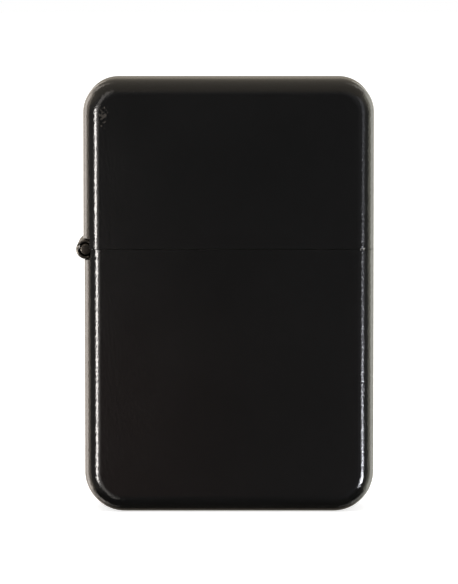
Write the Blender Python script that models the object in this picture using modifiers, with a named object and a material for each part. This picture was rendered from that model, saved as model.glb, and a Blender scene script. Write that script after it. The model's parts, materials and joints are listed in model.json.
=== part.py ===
"""Flip-top windproof petrol lighter, closed: a drawn case and lid on a hinge, and the insert inside them.

Metres, +Z up. The origin is the middle of the flat base, -Y is the front and the hinge is on the -X side.
"""

import math

import bmesh
import bpy
from mathutils import Matrix, Vector

MM = 0.001

# The case and its lid, drawn from sheet brass. The lid overhangs the case by a hair on the hinge side.
CASE_W = 38.1 * MM
CASE_D = 12.7 * MM
CASE_H = 57.15 * MM
SHEET = 0.7 * MM
SEAM_Z = 34.7 * MM
SEAM_GAP = 0.2 * MM
LID_OVERHANG = 0.15 * MM
BASE_CORNER_R = 5.3 * MM
LID_CORNER_R = 4.5 * MM
EDGE_R = 2.2 * MM

# Hinge: the barrel stands proud of the hinge side and both shells are notched round it
HINGE_X = -18.85 * MM
BARREL_R = 1.28 * MM
BARREL_HALF = 5.6 * MM
NOTCH_R = 1.42 * MM
NOTCH_HALF = 5.85 * MM
MIDDLE_KNUCKLE_HALF = 2.1 * MM
KNUCKLE_GAP = 0.15 * MM
PIN_R = 0.8 * MM
PIN_BORE_R = 0.9 * MM
LEAF_X = -18.25 * MM
LEAF_SHEET = 0.4 * MM
LEAF_HALF = 4.1 * MM
LOWER_LEAF_DROP = 8.2 * MM
UPPER_LEAF_LIFT = 1.7 * MM
UPPER_LEAF_TOP = 9.4 * MM
HEEL_ANGLE = math.radians(-55)
HEEL_REACH = 2.2 * MM
HEEL_SHEET = 0.5 * MM
HEEL_ROOM = 2.6 * MM

# Insert tank: a thinner drawn box, open below for filling, and the plate that closes its top
TANK_LEFT = -17.2 * MM
TANK_RIGHT = 18.05 * MM
TANK_D = 11.0 * MM
TANK_BOTTOM = 1.0 * MM
TANK_TOP = 35.7 * MM
TANK_SHEET = 0.4 * MM
TANK_CORNER_R = 4.6 * MM
TANK_EDGE_R = 1.6 * MM
FILL_LEFT = -12.5 * MM
FILL_RIGHT = 13.8 * MM
FILL_HALF = 4.2 * MM
PLATE_LEFT = -16.65 * MM
PLATE_RIGHT = 17.5 * MM
PLATE_HALF = 4.95 * MM
PLATE_BOTTOM = 34.9 * MM
PLATE_TOP = 35.5 * MM
PLATE_CORNER_R = 1.4 * MM

# Cam: a rocking lever in a pocket of the plate, on a rivet between two lugs, pushed by a leaf spring
CAM_X = -13.0 * MM
CAM_Z = 39.4 * MM
CAM_BOSS_R = 1.5 * MM
CAM_NOSE_X = -15.85 * MM
CAM_NOSE_Z = 34.8 * MM
CAM_NOSE_R = 0.4 * MM
CAM_HALF = 1.5 * MM
LUG_R = 1.6 * MM
LUG_Y = 2.0 * MM
LUG_SHEET = 0.4 * MM
CAM_RIVET_R = 0.6 * MM
CAM_RIVET_BORE_R = 0.75 * MM
CAM_RIVET_HEAD_R = 1.0 * MM
POCKET_LEFT = -16.15 * MM
POCKET_RIGHT = -11.8 * MM
POCKET_HALF = 1.75 * MM
POCKET_FLOOR = 33.4 * MM
POCKET_SHEET = 0.4 * MM
LEAF_SPRING_X = -12.1 * MM
LEAF_SPRING_HALF = 1.2 * MM
LEAF_SPRING_SHEET = 0.3 * MM
LEAF_SPRING_LEAN = 0.8 * MM
LEAF_SPRING_TOUCH_RISE = 1.3 * MM
LEAF_SPRING_TIP_RISE = 2.1 * MM

# Chimney: a folded strip round the wick, open towards the wheel, with rows of air holes
CHIMNEY_BOTTOM = 35.65 * MM
CHIMNEY_TOP = 51.7 * MM
CHIMNEY_LEFT = -10.3 * MM
CHIMNEY_HALF = 4.8 * MM
CHIMNEY_SHEET = 0.4 * MM
CHIMNEY_CORNER_R = 2.5 * MM
CHIMNEY_SHOULDER_X = 4.6 * MM
EAR_START_X = 7.0 * MM
EAR_HALF = 3.2 * MM
EAR_R = 2.7 * MM
EAR_FROM = 125
EAR_TO = -20
AIR_HOLE_R = 0.95 * MM
AIR_HOLE_STEP_X = 4.0 * MM
AIR_HOLE_STEP_Z = 3.6 * MM
AIR_HOLE_MIDDLE_X = -1.6 * MM
AIR_HOLE_MIDDLE_Z = 44.8 * MM

# Striker wheel and its rivet
WHEEL_X = 10.5 * MM
WHEEL_Z = 42.1 * MM
WHEEL_R = 3.8 * MM
WHEEL_HALF = 2.4 * MM
WHEEL_TEETH = 40
TOOTH_DEPTH = 0.3 * MM
WHEEL_BORE_R = 0.95 * MM
WHEEL_RIVET_R = 0.8 * MM
WHEEL_RIVET_HEAD_R = 1.3 * MM
RIVET_HEAD = 0.5 * MM
PLAY = 0.1 * MM

# Flint column, straight below the wheel
TUBE_R = 1.8 * MM
TUBE_BORE_R = 1.4 * MM
TUBE_BOTTOM = 2.7 * MM
TUBE_TOP = 36.9 * MM
FLINT_R = 1.25 * MM
FLINT_BOTTOM = 33.1 * MM
FLINT_TOP = 38.1 * MM
TIP_R = 1.2 * MM
TIP_STUB_R = 0.65 * MM
TIP_BOTTOM = 31.1 * MM
TIP_SHOULDER = 32.1 * MM
TIP_TOP = 32.9 * MM
SPRING_R = 1.05 * MM
SPRING_WIRE_R = 0.2 * MM
SPRING_BOTTOM = 10.4 * MM
SPRING_TOP = 31.7 * MM
SPRING_TURNS = 19
SPRING_TURN_POINTS = 10
SCREW_HEAD_R = 2.2 * MM
SCREW_SHANK_R = 1.2 * MM
SCREW_BOTTOM = 1.3 * MM
SCREW_HEAD_TOP = 2.3 * MM
SCREW_TOP = 9.9 * MM
SCREW_SLOT_HALF = 0.3 * MM
SCREW_SLOT_DEPTH = 0.5 * MM

# Wick, the cotton that it winds through, and the felt that covers the filling opening
WICK_R = 1.4 * MM
WICK_X = -1.5 * MM
WICK_TOP = 50.8 * MM
WICK_FIRST_BEND_R = 1.7 * MM
WICK_LEFT_TURN_X = -11.8 * MM
WICK_RIGHT_TURN_X = 3.5 * MM
WICK_END_X = 6.5 * MM
WICK_TURNS = 3
PAD_HALF = 4.8 * MM
PAD_LEFT = -16.4 * MM
PAD_RIGHT = 17.2 * MM
PAD_STACK_TOP = 32.6 * MM
PAD_THICK = 3.2 * MM
PAD_SPACING = 6.6 * MM
LAST_PAD_THICK = 2.8 * MM
LAST_PAD_INSET = 1.5 * MM
PAD_ROUND = 0.8 * MM
CLEAR = 0.3 * MM
FELT_LEFT = -12.0 * MM
FELT_RIGHT = 13.4 * MM
FELT_HALF = 3.9 * MM
FELT_BOTTOM = 1.2 * MM
FELT_TOP = 3.1 * MM

# How finely round shapes are drawn
CORNER_STEPS = 10
EDGE_STEPS = 5
ROUND_SIDES = 24
ARC_STEPS = 10
BOSS_STEPS = 14
NOSE_STEPS = 6
FOLD_STEPS = 6
SWEEP_STEPS = 8
SLAB_CORNER_STEPS = 3
PAD_EDGE_STEPS = 2
SMOOTH_BELOW = math.radians(40)


def clear_scene():
    for old in list(bpy.data.objects):
        bpy.data.objects.remove(old, do_unlink=True)


def add_collection(name):
    collection = bpy.data.collections.new(name)
    bpy.context.scene.collection.children.link(collection)
    return collection


clear_scene()
PARTS = add_collection("flip_top_lighter")
CUTTERS = add_collection("cutters")


def finish(name, colour, roughness, metallic):
    """A surface as a Principled material."""
    material = bpy.data.materials.new(name)
    material.use_nodes = True
    shader = material.node_tree.nodes["Principled BSDF"]
    shader.inputs["Base Color"].default_value = (*colour, 1)
    shader.inputs["Roughness"].default_value = roughness
    shader.inputs["Metallic"].default_value = metallic
    return material


BLACK_ENAMEL = finish("black_crackle_enamel", (0.008, 0.008, 0.008), 0.4, 0)
HINGE_STEEL = finish("blackened_hinge_steel", (0.03, 0.03, 0.03), 0.4, 0.6)
PIN_STEEL = finish("bright_pin_steel", (0.45, 0.44, 0.42), 0.3, 1)
INSERT_STEEL = finish("satin_stainless_steel", (0.56, 0.55, 0.53), 0.35, 1)
WHEEL_STEEL = finish("hardened_wheel_steel", (0.25, 0.24, 0.23), 0.45, 1)
SPRING_STEEL = finish("spring_steel", (0.4, 0.4, 0.41), 0.3, 1)
BRASS = finish("brass", (0.6, 0.42, 0.16), 0.35, 1)
FLINT_ALLOY = finish("flint_alloy", (0.09, 0.085, 0.08), 0.7, 0.3)
COTTON = finish("cotton", (0.8, 0.78, 0.72), 0.95, 0)
FELT = finish("grey_felt", (0.45, 0.44, 0.42), 0.95, 0)
WICK_COTTON = finish("braided_cotton", (0.72, 0.68, 0.58), 0.9, 0)


def add_part(name, data, material):
    part = bpy.data.objects.new(name, data)
    data.materials.append(material)
    PARTS.objects.link(part)
    return part


def to_mesh(name, bm):
    mesh = bpy.data.meshes.new(name)
    bm.to_mesh(mesh)
    bm.free()
    return mesh


def block(name, low, high):
    """A box between two corners."""
    bm = bmesh.new()
    bmesh.ops.create_cube(bm, size=1)
    bmesh.ops.scale(bm, vec=Vector(high) - Vector(low), verts=bm.verts)
    bmesh.ops.translate(bm, vec=(Vector(high) + Vector(low)) / 2, verts=bm.verts)
    return to_mesh(name, bm)


def rod(name, start, end, radius):
    """A round bar between two points."""
    along = Vector(end) - Vector(start)
    middle = (Vector(start) + Vector(end)) / 2
    bm = bmesh.new()
    bmesh.ops.create_cone(
        bm,
        cap_ends=True,
        segments=ROUND_SIDES,
        radius1=radius,
        radius2=radius,
        depth=along.length,
        matrix=Matrix.Translation(middle) @ along.to_track_quat("Z", "Y").to_matrix().to_4x4(),
    )
    mesh = to_mesh(name, bm)
    mesh.shade_smooth()
    mesh.set_sharp_from_angle(angle=SMOOTH_BELOW)
    return mesh


def cross_rod(name, x, z, radius, y_low, y_high):
    """A round bar along the depth of the lighter."""
    return rod(name, (x, y_low, z), (x, y_high, z), radius)


def rounded_slab(name, low, high, radius):
    """A box whose upright edges are rounded."""
    bm = bmesh.new()
    bm.from_mesh(block(name, low, high))
    upright = [e for e in bm.edges if abs(e.verts[0].co.z - e.verts[1].co.z) > MM / 10]
    bmesh.ops.bevel(bm, geom=upright, offset=radius, segments=SLAB_CORNER_STEPS, profile=0.5, affect="EDGES")
    return to_mesh(name, bm)


def mesh_of_curve(curve, turn):
    """The curve as a closed mesh, turned into place."""
    drawn = bpy.data.objects.new(curve.name, curve)
    PARTS.objects.link(drawn)
    drawn.matrix_world = turn
    bpy.context.view_layer.update()
    graph = bpy.context.evaluated_depsgraph_get()
    mesh = bpy.data.meshes.new_from_object(drawn.evaluated_get(graph))
    bpy.data.objects.remove(drawn)
    bm = bmesh.new()
    bm.from_mesh(mesh)
    bmesh.ops.remove_doubles(bm, verts=bm.verts, dist=MM / 1000)
    bmesh.ops.recalc_face_normals(bm, faces=bm.faces)
    bm.to_mesh(mesh)
    bm.free()
    mesh.transform(turn)
    return mesh


def side_outline(name, points, y_low, y_high):
    """A flat outline of (x, z) points, given its thickness along the depth of the lighter."""
    curve = bpy.data.curves.new(name, "CURVE")
    curve.dimensions = "2D"
    curve.fill_mode = "BOTH"
    curve.extrude = (y_high - y_low) / 2
    spline = curve.splines.new("POLY")
    spline.points.add(len(points) - 1)
    for place, (x, z) in zip(spline.points, points):
        place.co = (x, z, 0, 1)
    spline.use_cyclic_u = True
    stand = Matrix.Translation((0, (y_low + y_high) / 2, 0)) @ Matrix.Rotation(math.pi / 2, 4, "X")
    return mesh_of_curve(curve, stand)


def tube(name, points, radius, resolution, material):
    """A wire or cord along a line of points."""
    curve = bpy.data.curves.new(name, "CURVE")
    curve.dimensions = "3D"
    curve.bevel_depth = radius
    curve.bevel_resolution = resolution
    curve.use_fill_caps = True
    spline = curve.splines.new("POLY")
    spline.points.add(len(points) - 1)
    for place, point in zip(spline.points, points):
        place.co = (*point, 1)
    return add_part(name, curve, material)


def turned(name, profile, place, material):
    """A turned piece; its (radius, height) profile runs down the outer side."""
    mesh = bpy.data.meshes.new(name)
    closed = profile[0][0] > 0
    links = [(i, i + 1) for i in range(len(profile) - 1)]
    if closed:
        links.append((len(profile) - 1, 0))
    mesh.from_pydata([(r, 0, z) for r, z in profile], links, [])
    part = add_part(name, mesh, material)
    part.location = place
    screw = part.modifiers.new("Turn", "SCREW")
    screw.steps = ROUND_SIDES
    screw.render_steps = ROUND_SIDES
    screw.use_merge_vertices = True
    screw.merge_threshold = MM / 100
    return part


def combine(part, operation, mesh):
    """Joins a shape to the part, cuts it out, or keeps only what lies inside it."""
    helper = bpy.data.objects.new(mesh.name, mesh)
    helper.hide_render = True
    helper.display_type = "WIRE"
    CUTTERS.objects.link(helper)
    modifier = part.modifiers.new(mesh.name, "BOOLEAN")
    modifier.operation = operation
    modifier.object = helper
    modifier.solver = "EXACT"


def arc(x, z, radius, start, end, steps):
    """Points along an arc in the side plane, angles in degrees."""
    points = []
    for i in range(steps + 1):
        angle = math.radians(start + (end - start) * i / steps)
        points.append((x + radius * math.cos(angle), z + radius * math.sin(angle)))
    return points


def sweep(first, control, last, steps):
    """Points along a quadratic curve from first to last, bent towards the control point."""
    points = []
    for i in range(steps + 1):
        t = i / steps
        a, b, c = (1 - t) ** 2, 2 * t * (1 - t), t**2
        points.append(tuple(a * p + b * q + c * r for p, q, r in zip(first, control, last)))
    return points


def drawn_shell(name, left, right, depth, closed_z, open_z, corner_r, edge_r, sheet, material):
    """A deep-drawn box, open at one end, with rounded corners and rounded front and back edges."""
    way = 1 if open_z > closed_z else -1
    spare_z = open_z + way * corner_r
    bm = bmesh.new()
    low = (left, -depth / 2, min(closed_z, spare_z))
    high = (right, depth / 2, max(closed_z, spare_z))
    bm.from_mesh(block(name, low, high))

    def at(edge, axis, value):
        return all(abs(v.co[axis] - value) < MM / 100 for v in edge.verts)

    corners = [e for e in bm.edges if at(e, 2, closed_z) and (at(e, 0, left) or at(e, 0, right))]
    bmesh.ops.bevel(bm, geom=corners, offset=corner_r, segments=CORNER_STEPS, profile=0.5, affect="EDGES")
    rims = [e for e in bm.edges if at(e, 1, -depth / 2) or at(e, 1, depth / 2)]
    rims = [e for e in rims if not at(e, 2, spare_z)]
    bmesh.ops.bevel(bm, geom=rims, offset=edge_r, segments=EDGE_STEPS, profile=0.5, affect="EDGES")
    bmesh.ops.bisect_plane(
        bm,
        geom=bm.verts[:] + bm.edges[:] + bm.faces[:],
        plane_co=(0, 0, open_z),
        plane_no=(0, 0, way),
        clear_outer=True,
    )
    mesh = to_mesh(name, bm)
    mesh.shade_smooth()
    mesh.set_sharp_from_angle(angle=SMOOTH_BELOW)
    part = add_part(name, mesh, material)
    wall = part.modifiers.new("Sheet", "SOLIDIFY")
    wall.thickness = sheet
    wall.offset = -1
    wall.use_even_offset = True
    return part


def case_and_lid():
    half = CASE_W / 2
    bottom = drawn_shell("case_bottom", -half, half, CASE_D, 0, SEAM_Z - SEAM_GAP / 2,
                         BASE_CORNER_R, EDGE_R, SHEET, BLACK_ENAMEL)
    lid = drawn_shell("case_lid", -half - LID_OVERHANG, half, CASE_D, CASE_H, SEAM_Z + SEAM_GAP / 2,
                      LID_CORNER_R, EDGE_R, SHEET, BLACK_ENAMEL)
    for shell in (bottom, lid):
        notch = cross_rod("hinge_notch", HINGE_X, SEAM_Z, NOTCH_R, -NOTCH_HALF, NOTCH_HALF)
        combine(shell, "DIFFERENCE", notch)
    return lid


def knuckle(y_low, y_high):
    return cross_rod("knuckle", HINGE_X, SEAM_Z, BARREL_R, y_low, y_high)


def pin_bore():
    return cross_rod("pin_bore", HINGE_X, SEAM_Z, PIN_BORE_R, -CASE_D, CASE_D)


def leaf_plate(name, half, z_low, z_high):
    return block(name, (LEAF_X, -half, z_low), (LEAF_X + LEAF_SHEET, half, z_high))


def lower_leaf():
    """The case's leaf: two end knuckles, with a window for the heel of the lid's leaf."""
    plate = leaf_plate("plate", LEAF_HALF, SEAM_Z - LOWER_LEAF_DROP, SEAM_Z)
    leaf = add_part("hinge_leaf_lower", plate, HINGE_STEEL)
    end = MIDDLE_KNUCKLE_HALF + KNUCKLE_GAP
    window_low = (HINGE_X - BARREL_R, -end - KNUCKLE_GAP, SEAM_Z - HEEL_ROOM - CLEAR)
    window_high = (HINGE_X + HEEL_ROOM, end + KNUCKLE_GAP, SEAM_Z + HEEL_ROOM)
    combine(leaf, "DIFFERENCE", block("heel_window", window_low, window_high))
    for y_low, y_high in ((-BARREL_HALF, -end), (end, BARREL_HALF)):
        combine(leaf, "UNION", knuckle(y_low, y_high))
    combine(leaf, "DIFFERENCE", pin_bore())


def upper_leaf():
    """The lid's leaf: the middle knuckle, and the heel that the cam works on."""
    plate = leaf_plate("plate", LEAF_HALF, SEAM_Z + UPPER_LEAF_LIFT, SEAM_Z + UPPER_LEAF_TOP)
    leaf = add_part("hinge_leaf_upper", plate, HINGE_STEEL)
    neck_top = SEAM_Z + UPPER_LEAF_LIFT + CLEAR
    combine(leaf, "UNION", leaf_plate("neck", MIDDLE_KNUCKLE_HALF, SEAM_Z, neck_top))
    combine(leaf, "UNION", knuckle(-MIDDLE_KNUCKLE_HALF, MIDDLE_KNUCKLE_HALF))
    inset = MIDDLE_KNUCKLE_HALF - KNUCKLE_GAP
    heel = block("heel", (PIN_R, -inset, -HEEL_SHEET / 2), (HEEL_REACH, inset, HEEL_SHEET / 2))
    heel.transform(Matrix.Translation((HINGE_X, 0, SEAM_Z)) @ Matrix.Rotation(-HEEL_ANGLE, 4, "Y"))
    combine(leaf, "UNION", heel)
    combine(leaf, "DIFFERENCE", pin_bore())
    return leaf


def hinge_pin():
    pin = cross_rod("hinge_pin", HINGE_X, SEAM_Z, PIN_R, -BARREL_HALF, BARREL_HALF)
    add_part("hinge_pin", pin, HINGE_STEEL)


def insert_tank():
    tank = drawn_shell("insert_tank", TANK_LEFT, TANK_RIGHT, TANK_D, TANK_BOTTOM, TANK_TOP,
                       TANK_CORNER_R, TANK_EDGE_R, TANK_SHEET, INSERT_STEEL)
    mouth_low = (FILL_LEFT, -FILL_HALF, 0)
    mouth_high = (FILL_RIGHT, FILL_HALF, TANK_BOTTOM + 2 * TANK_SHEET)
    combine(tank, "DIFFERENCE", block("fill_mouth", mouth_low, mouth_high))
    slot_low = (TANK_LEFT - MM, -HEEL_ROOM, SEAM_Z - HEEL_ROOM - CLEAR)
    slot_high = (TANK_LEFT + MM, HEEL_ROOM, TANK_TOP + MM)
    combine(tank, "DIFFERENCE", block("heel_slot", slot_low, slot_high))
    return tank


def top_plate():
    """The tank's top, with the cam's pocket and lugs, and holes for the wick and the flint tube."""
    low = (PLATE_LEFT, -PLATE_HALF, PLATE_BOTTOM)
    high = (PLATE_RIGHT, PLATE_HALF, PLATE_TOP)
    plate = add_part("insert_top_plate", rounded_slab("plate", low, high, PLATE_CORNER_R), INSERT_STEEL)
    outer = POCKET_HALF + POCKET_SHEET
    inside_plate = (PLATE_BOTTOM + PLATE_TOP) / 2
    pocket_low = (POCKET_LEFT, -outer, POCKET_FLOOR - POCKET_SHEET)
    pocket_high = (POCKET_RIGHT + POCKET_SHEET, outer, inside_plate)
    combine(plate, "UNION", block("pocket_walls", pocket_low, pocket_high))
    lug = [(CAM_X + LUG_R, inside_plate)]
    lug += arc(CAM_X, CAM_Z, LUG_R, 0, 180, ARC_STEPS)
    lug += [(CAM_X - LUG_R, inside_plate)]
    for side in (-1, 1):
        y_low = side * LUG_Y - LUG_SHEET / 2
        combine(plate, "UNION", side_outline("cam_lug", lug, y_low, y_low + LUG_SHEET))
    hollow_low = (PLATE_LEFT - MM, -POCKET_HALF, POCKET_FLOOR)
    hollow_high = (POCKET_RIGHT, POCKET_HALF, PLATE_TOP + MM)
    combine(plate, "DIFFERENCE", block("pocket_hollow", hollow_low, hollow_high))
    notch_low = (PLATE_LEFT - MM, -HEEL_ROOM, PLATE_BOTTOM - MM)
    notch_high = (POCKET_LEFT, HEEL_ROOM, PLATE_TOP + MM)
    combine(plate, "DIFFERENCE", block("heel_notch", notch_low, notch_high))
    for name, x, radius in (("wick_hole", WICK_X, WICK_R), ("tube_hole", WHEEL_X, TUBE_R)):
        ends = (x, 0, PLATE_BOTTOM - MM), (x, 0, PLATE_TOP + MM)
        combine(plate, "DIFFERENCE", rod(name, *ends, radius + CLEAR))
    rivet_hole = cross_rod("cam_rivet_hole", CAM_X, CAM_Z, CAM_RIVET_BORE_R, -CASE_D, CASE_D)
    combine(plate, "DIFFERENCE", rivet_hole)
    return plate


def chimney_strip():
    """The folded strip of the chimney before it is trimmed: a plan line drawn up to the top."""
    mid = CHIMNEY_HALF - CHIMNEY_SHEET / 2
    ear = EAR_HALF - CHIMNEY_SHEET / 2
    left = CHIMNEY_LEFT + CHIMNEY_SHEET / 2
    front = [(WHEEL_X + EAR_R + MM, -ear), (EAR_START_X, -ear), (CHIMNEY_SHOULDER_X, -mid)]
    front += arc(left + CHIMNEY_CORNER_R, CHIMNEY_CORNER_R - mid, CHIMNEY_CORNER_R, 270, 180, FOLD_STEPS)
    plan = front + [(x, -y) for x, y in reversed(front)]
    bm = bmesh.new()
    foot = [bm.verts.new((x, y, CHIMNEY_BOTTOM)) for x, y in plan]
    line = [bm.edges.new(pair) for pair in zip(foot, foot[1:])]
    risen = bmesh.ops.extrude_edge_only(bm, edges=line)["geom"]
    risen = [v for v in risen if isinstance(v, bmesh.types.BMVert)]
    bmesh.ops.translate(bm, vec=(0, 0, CHIMNEY_TOP - CHIMNEY_BOTTOM), verts=risen)
    bmesh.ops.recalc_face_normals(bm, faces=bm.faces)
    return to_mesh("chimney", bm)


def chimney():
    part = add_part("chimney", chimney_strip(), INSERT_STEEL)
    wall = part.modifiers.new("Sheet", "SOLIDIFY")
    wall.thickness = CHIMNEY_SHEET
    wall.offset = 0
    wall.use_even_offset = True
    ear = arc(WHEEL_X, WHEEL_Z, EAR_R, EAR_FROM, EAR_TO, ARC_STEPS)
    shoulder = (CHIMNEY_SHOULDER_X, CHIMNEY_TOP + CLEAR)
    side = [(CHIMNEY_LEFT - MM, CHIMNEY_BOTTOM - MM), (CHIMNEY_LEFT - MM, CHIMNEY_TOP + CLEAR)]
    side += sweep(shoulder, (EAR_START_X, ear[0][1] + MM), ear[0], SWEEP_STEPS)
    side += ear[1:]
    side += [(ear[-1][0], CHIMNEY_BOTTOM - MM)]
    combine(part, "INTERSECT", side_outline("chimney_side", side, -CASE_D, CASE_D))
    for row in (-1, 0, 1):
        steps = (-1, 0, 1) if row else (-0.5, 0.5)
        for step in steps:
            x = AIR_HOLE_MIDDLE_X + step * AIR_HOLE_STEP_X
            z = AIR_HOLE_MIDDLE_Z + row * AIR_HOLE_STEP_Z
            combine(part, "DIFFERENCE", cross_rod("air_hole", x, z, AIR_HOLE_R, -CASE_D, CASE_D))
    rivet_hole = cross_rod("wheel_rivet_hole", WHEEL_X, WHEEL_Z, WHEEL_BORE_R, -CASE_D, CASE_D)
    combine(part, "DIFFERENCE", rivet_hole)
    return part


def rivet(name, x, z, shank_r, head_r, grip_half):
    """A rivet along the depth, with a head outside each of the two sheets that it joins."""
    under = grip_half + PLAY
    end = under + RIVET_HEAD
    profile = [(0, end), (head_r, end), (head_r, under), (shank_r, under)]
    profile += [(r, -h) for r, h in reversed(profile)]
    part = turned(name, profile, (x, 0, z), PIN_STEEL)
    part.rotation_euler = (math.pi / 2, 0, 0)
    return part


def striker_wheel():
    rim = []
    for i in range(WHEEL_TEETH):
        for share, radius in ((0, WHEEL_R), (0.75, WHEEL_R - TOOTH_DEPTH)):
            angle = 2 * math.pi * (i + share) / WHEEL_TEETH
            rim.append((WHEEL_X + radius * math.cos(angle), WHEEL_Z + radius * math.sin(angle)))
    wheel = add_part("striker_wheel", side_outline("wheel", rim, -WHEEL_HALF, WHEEL_HALF), WHEEL_STEEL)
    combine(wheel, "DIFFERENCE", cross_rod("wheel_bore", WHEEL_X, WHEEL_Z, WHEEL_BORE_R, -CASE_D, CASE_D))
    return wheel


def cam_lever():
    """The outline that runs round the boss and the nose of the cam on their common tangents."""
    run, rise = CAM_NOSE_X - CAM_X, CAM_NOSE_Z - CAM_Z
    along = math.degrees(math.atan2(rise, run))
    splay = math.degrees(math.acos((CAM_BOSS_R - CAM_NOSE_R) / math.hypot(run, rise)))
    outline = arc(CAM_X, CAM_Z, CAM_BOSS_R, along + splay, along + 360 - splay, BOSS_STEPS)
    outline += arc(CAM_NOSE_X, CAM_NOSE_Z, CAM_NOSE_R, along - splay, along + splay, NOSE_STEPS)
    lever = add_part("cam_lever", side_outline("cam", outline, -CAM_HALF, CAM_HALF), SPRING_STEEL)
    combine(lever, "DIFFERENCE", cross_rod("cam_bore", CAM_X, CAM_Z, CAM_RIVET_BORE_R, -CASE_D, CASE_D))
    return lever


def cam_spring():
    """A leaf that stands in the pocket and leans on the back of the cam."""
    half = LEAF_SPRING_SHEET / 2
    foot = (LEAF_SPRING_X, POCKET_FLOOR + CLEAR)
    bend = (LEAF_SPRING_X, PLATE_TOP)
    touch = (LEAF_SPRING_X - LEAF_SPRING_LEAN, PLATE_TOP + LEAF_SPRING_TOUCH_RISE)
    tip = (LEAF_SPRING_X, PLATE_TOP + LEAF_SPRING_TIP_RISE)
    line = [foot, bend, touch, tip]
    outline = [(x - half, z) for x, z in line] + [(x + half, z) for x, z in reversed(line)]
    mesh = side_outline("leaf_spring", outline, -LEAF_SPRING_HALF, LEAF_SPRING_HALF)
    return add_part("cam_spring", mesh, SPRING_STEEL)


def flint_column():
    """The pieces below the wheel: those that stay with the insert, those that slide and one that turns."""
    foot = (WHEEL_X, 0, 0)
    bore = [(TUBE_R, TUBE_TOP), (TUBE_R, TUBE_BOTTOM), (TUBE_BORE_R, TUBE_BOTTOM), (TUBE_BORE_R, TUBE_TOP)]
    barrel = turned("flint_tube", bore, foot, BRASS)
    chamfer = 2 * PLAY
    stone = [(0, FLINT_TOP), (FLINT_R - chamfer, FLINT_TOP), (FLINT_R, FLINT_TOP - chamfer)]
    stone += [(FLINT_R, FLINT_BOTTOM + chamfer), (FLINT_R - chamfer, FLINT_BOTTOM), (0, FLINT_BOTTOM)]
    flint = turned("flint", stone, foot, FLINT_ALLOY)
    plunger = [(0, TIP_TOP), (TIP_R, TIP_TOP), (TIP_R, TIP_SHOULDER)]
    plunger += [(TIP_STUB_R, TIP_SHOULDER), (TIP_STUB_R, TIP_BOTTOM), (0, TIP_BOTTOM)]
    tip = turned("flint_spring_tip", plunger, foot, BRASS)
    post = [(0, SCREW_TOP), (SCREW_SHANK_R, SCREW_TOP), (SCREW_SHANK_R, SCREW_HEAD_TOP)]
    post += [(SCREW_HEAD_R, SCREW_HEAD_TOP), (SCREW_HEAD_R, SCREW_BOTTOM), (0, SCREW_BOTTOM)]
    screw = turned("flint_screw", post, foot, BRASS)
    slot_low = (WHEEL_X - 2 * SCREW_HEAD_R, -SCREW_SLOT_HALF, 0)
    slot_high = (WHEEL_X + 2 * SCREW_HEAD_R, SCREW_SLOT_HALF, SCREW_BOTTOM + SCREW_SLOT_DEPTH)
    combine(screw, "DIFFERENCE", block("screw_slot", slot_low, slot_high))
    return [barrel, flint_spring()], [flint, tip], [screw]


def flint_spring():
    count = SPRING_TURNS * SPRING_TURN_POINTS
    low = SPRING_BOTTOM + SPRING_WIRE_R
    rise = SPRING_TOP - SPRING_WIRE_R - low
    coil = []
    for i in range(count + 1):
        angle = 2 * math.pi * i / SPRING_TURN_POINTS
        x = WHEEL_X + SPRING_R * math.cos(angle)
        y = SPRING_R * math.sin(angle)
        coil.append((x, y, low + rise * i / count))
    least = min(
        math.dist(coil[i], coil[j])
        for i in range(count + 1)
        for j in range(i + SPRING_TURN_POINTS // 2 + 2, count + 1)
    )
    print("flint spring: least gap between turns", round((least - 2 * SPRING_WIRE_R) / MM, 3), "mm")
    return tube("flint_spring", coil, SPRING_WIRE_R, 1, SPRING_STEEL)


def pad_top(index):
    return PAD_STACK_TOP - index * PAD_SPACING


def run_height(index):
    """The middle of the room for the wick below a pad."""
    return pad_top(index) - (PAD_THICK + PAD_SPACING) / 2


def wick():
    """Down the chimney, through the first pad, then to and fro between the pads."""
    bend_r = PAD_SPACING / 2
    bend_z = run_height(0) + WICK_FIRST_BEND_R
    line = [(WICK_X, WICK_TOP), (WICK_X, PLATE_TOP)]
    line += arc(WICK_X - WICK_FIRST_BEND_R, bend_z, WICK_FIRST_BEND_R, 0, -90, FOLD_STEPS)
    for index in range(WICK_TURNS):
        middle = (run_height(index) + run_height(index + 1)) / 2
        if index % 2:
            line += arc(WICK_RIGHT_TURN_X, middle, bend_r, 90, -90, ARC_STEPS)
        else:
            line += arc(WICK_LEFT_TURN_X, middle, bend_r, 90, 270, ARC_STEPS)
    line.append((WICK_END_X, run_height(WICK_TURNS)))
    return tube("wick", [(x, 0, z) for x, z in line], WICK_R, 2, WICK_COTTON)


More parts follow.
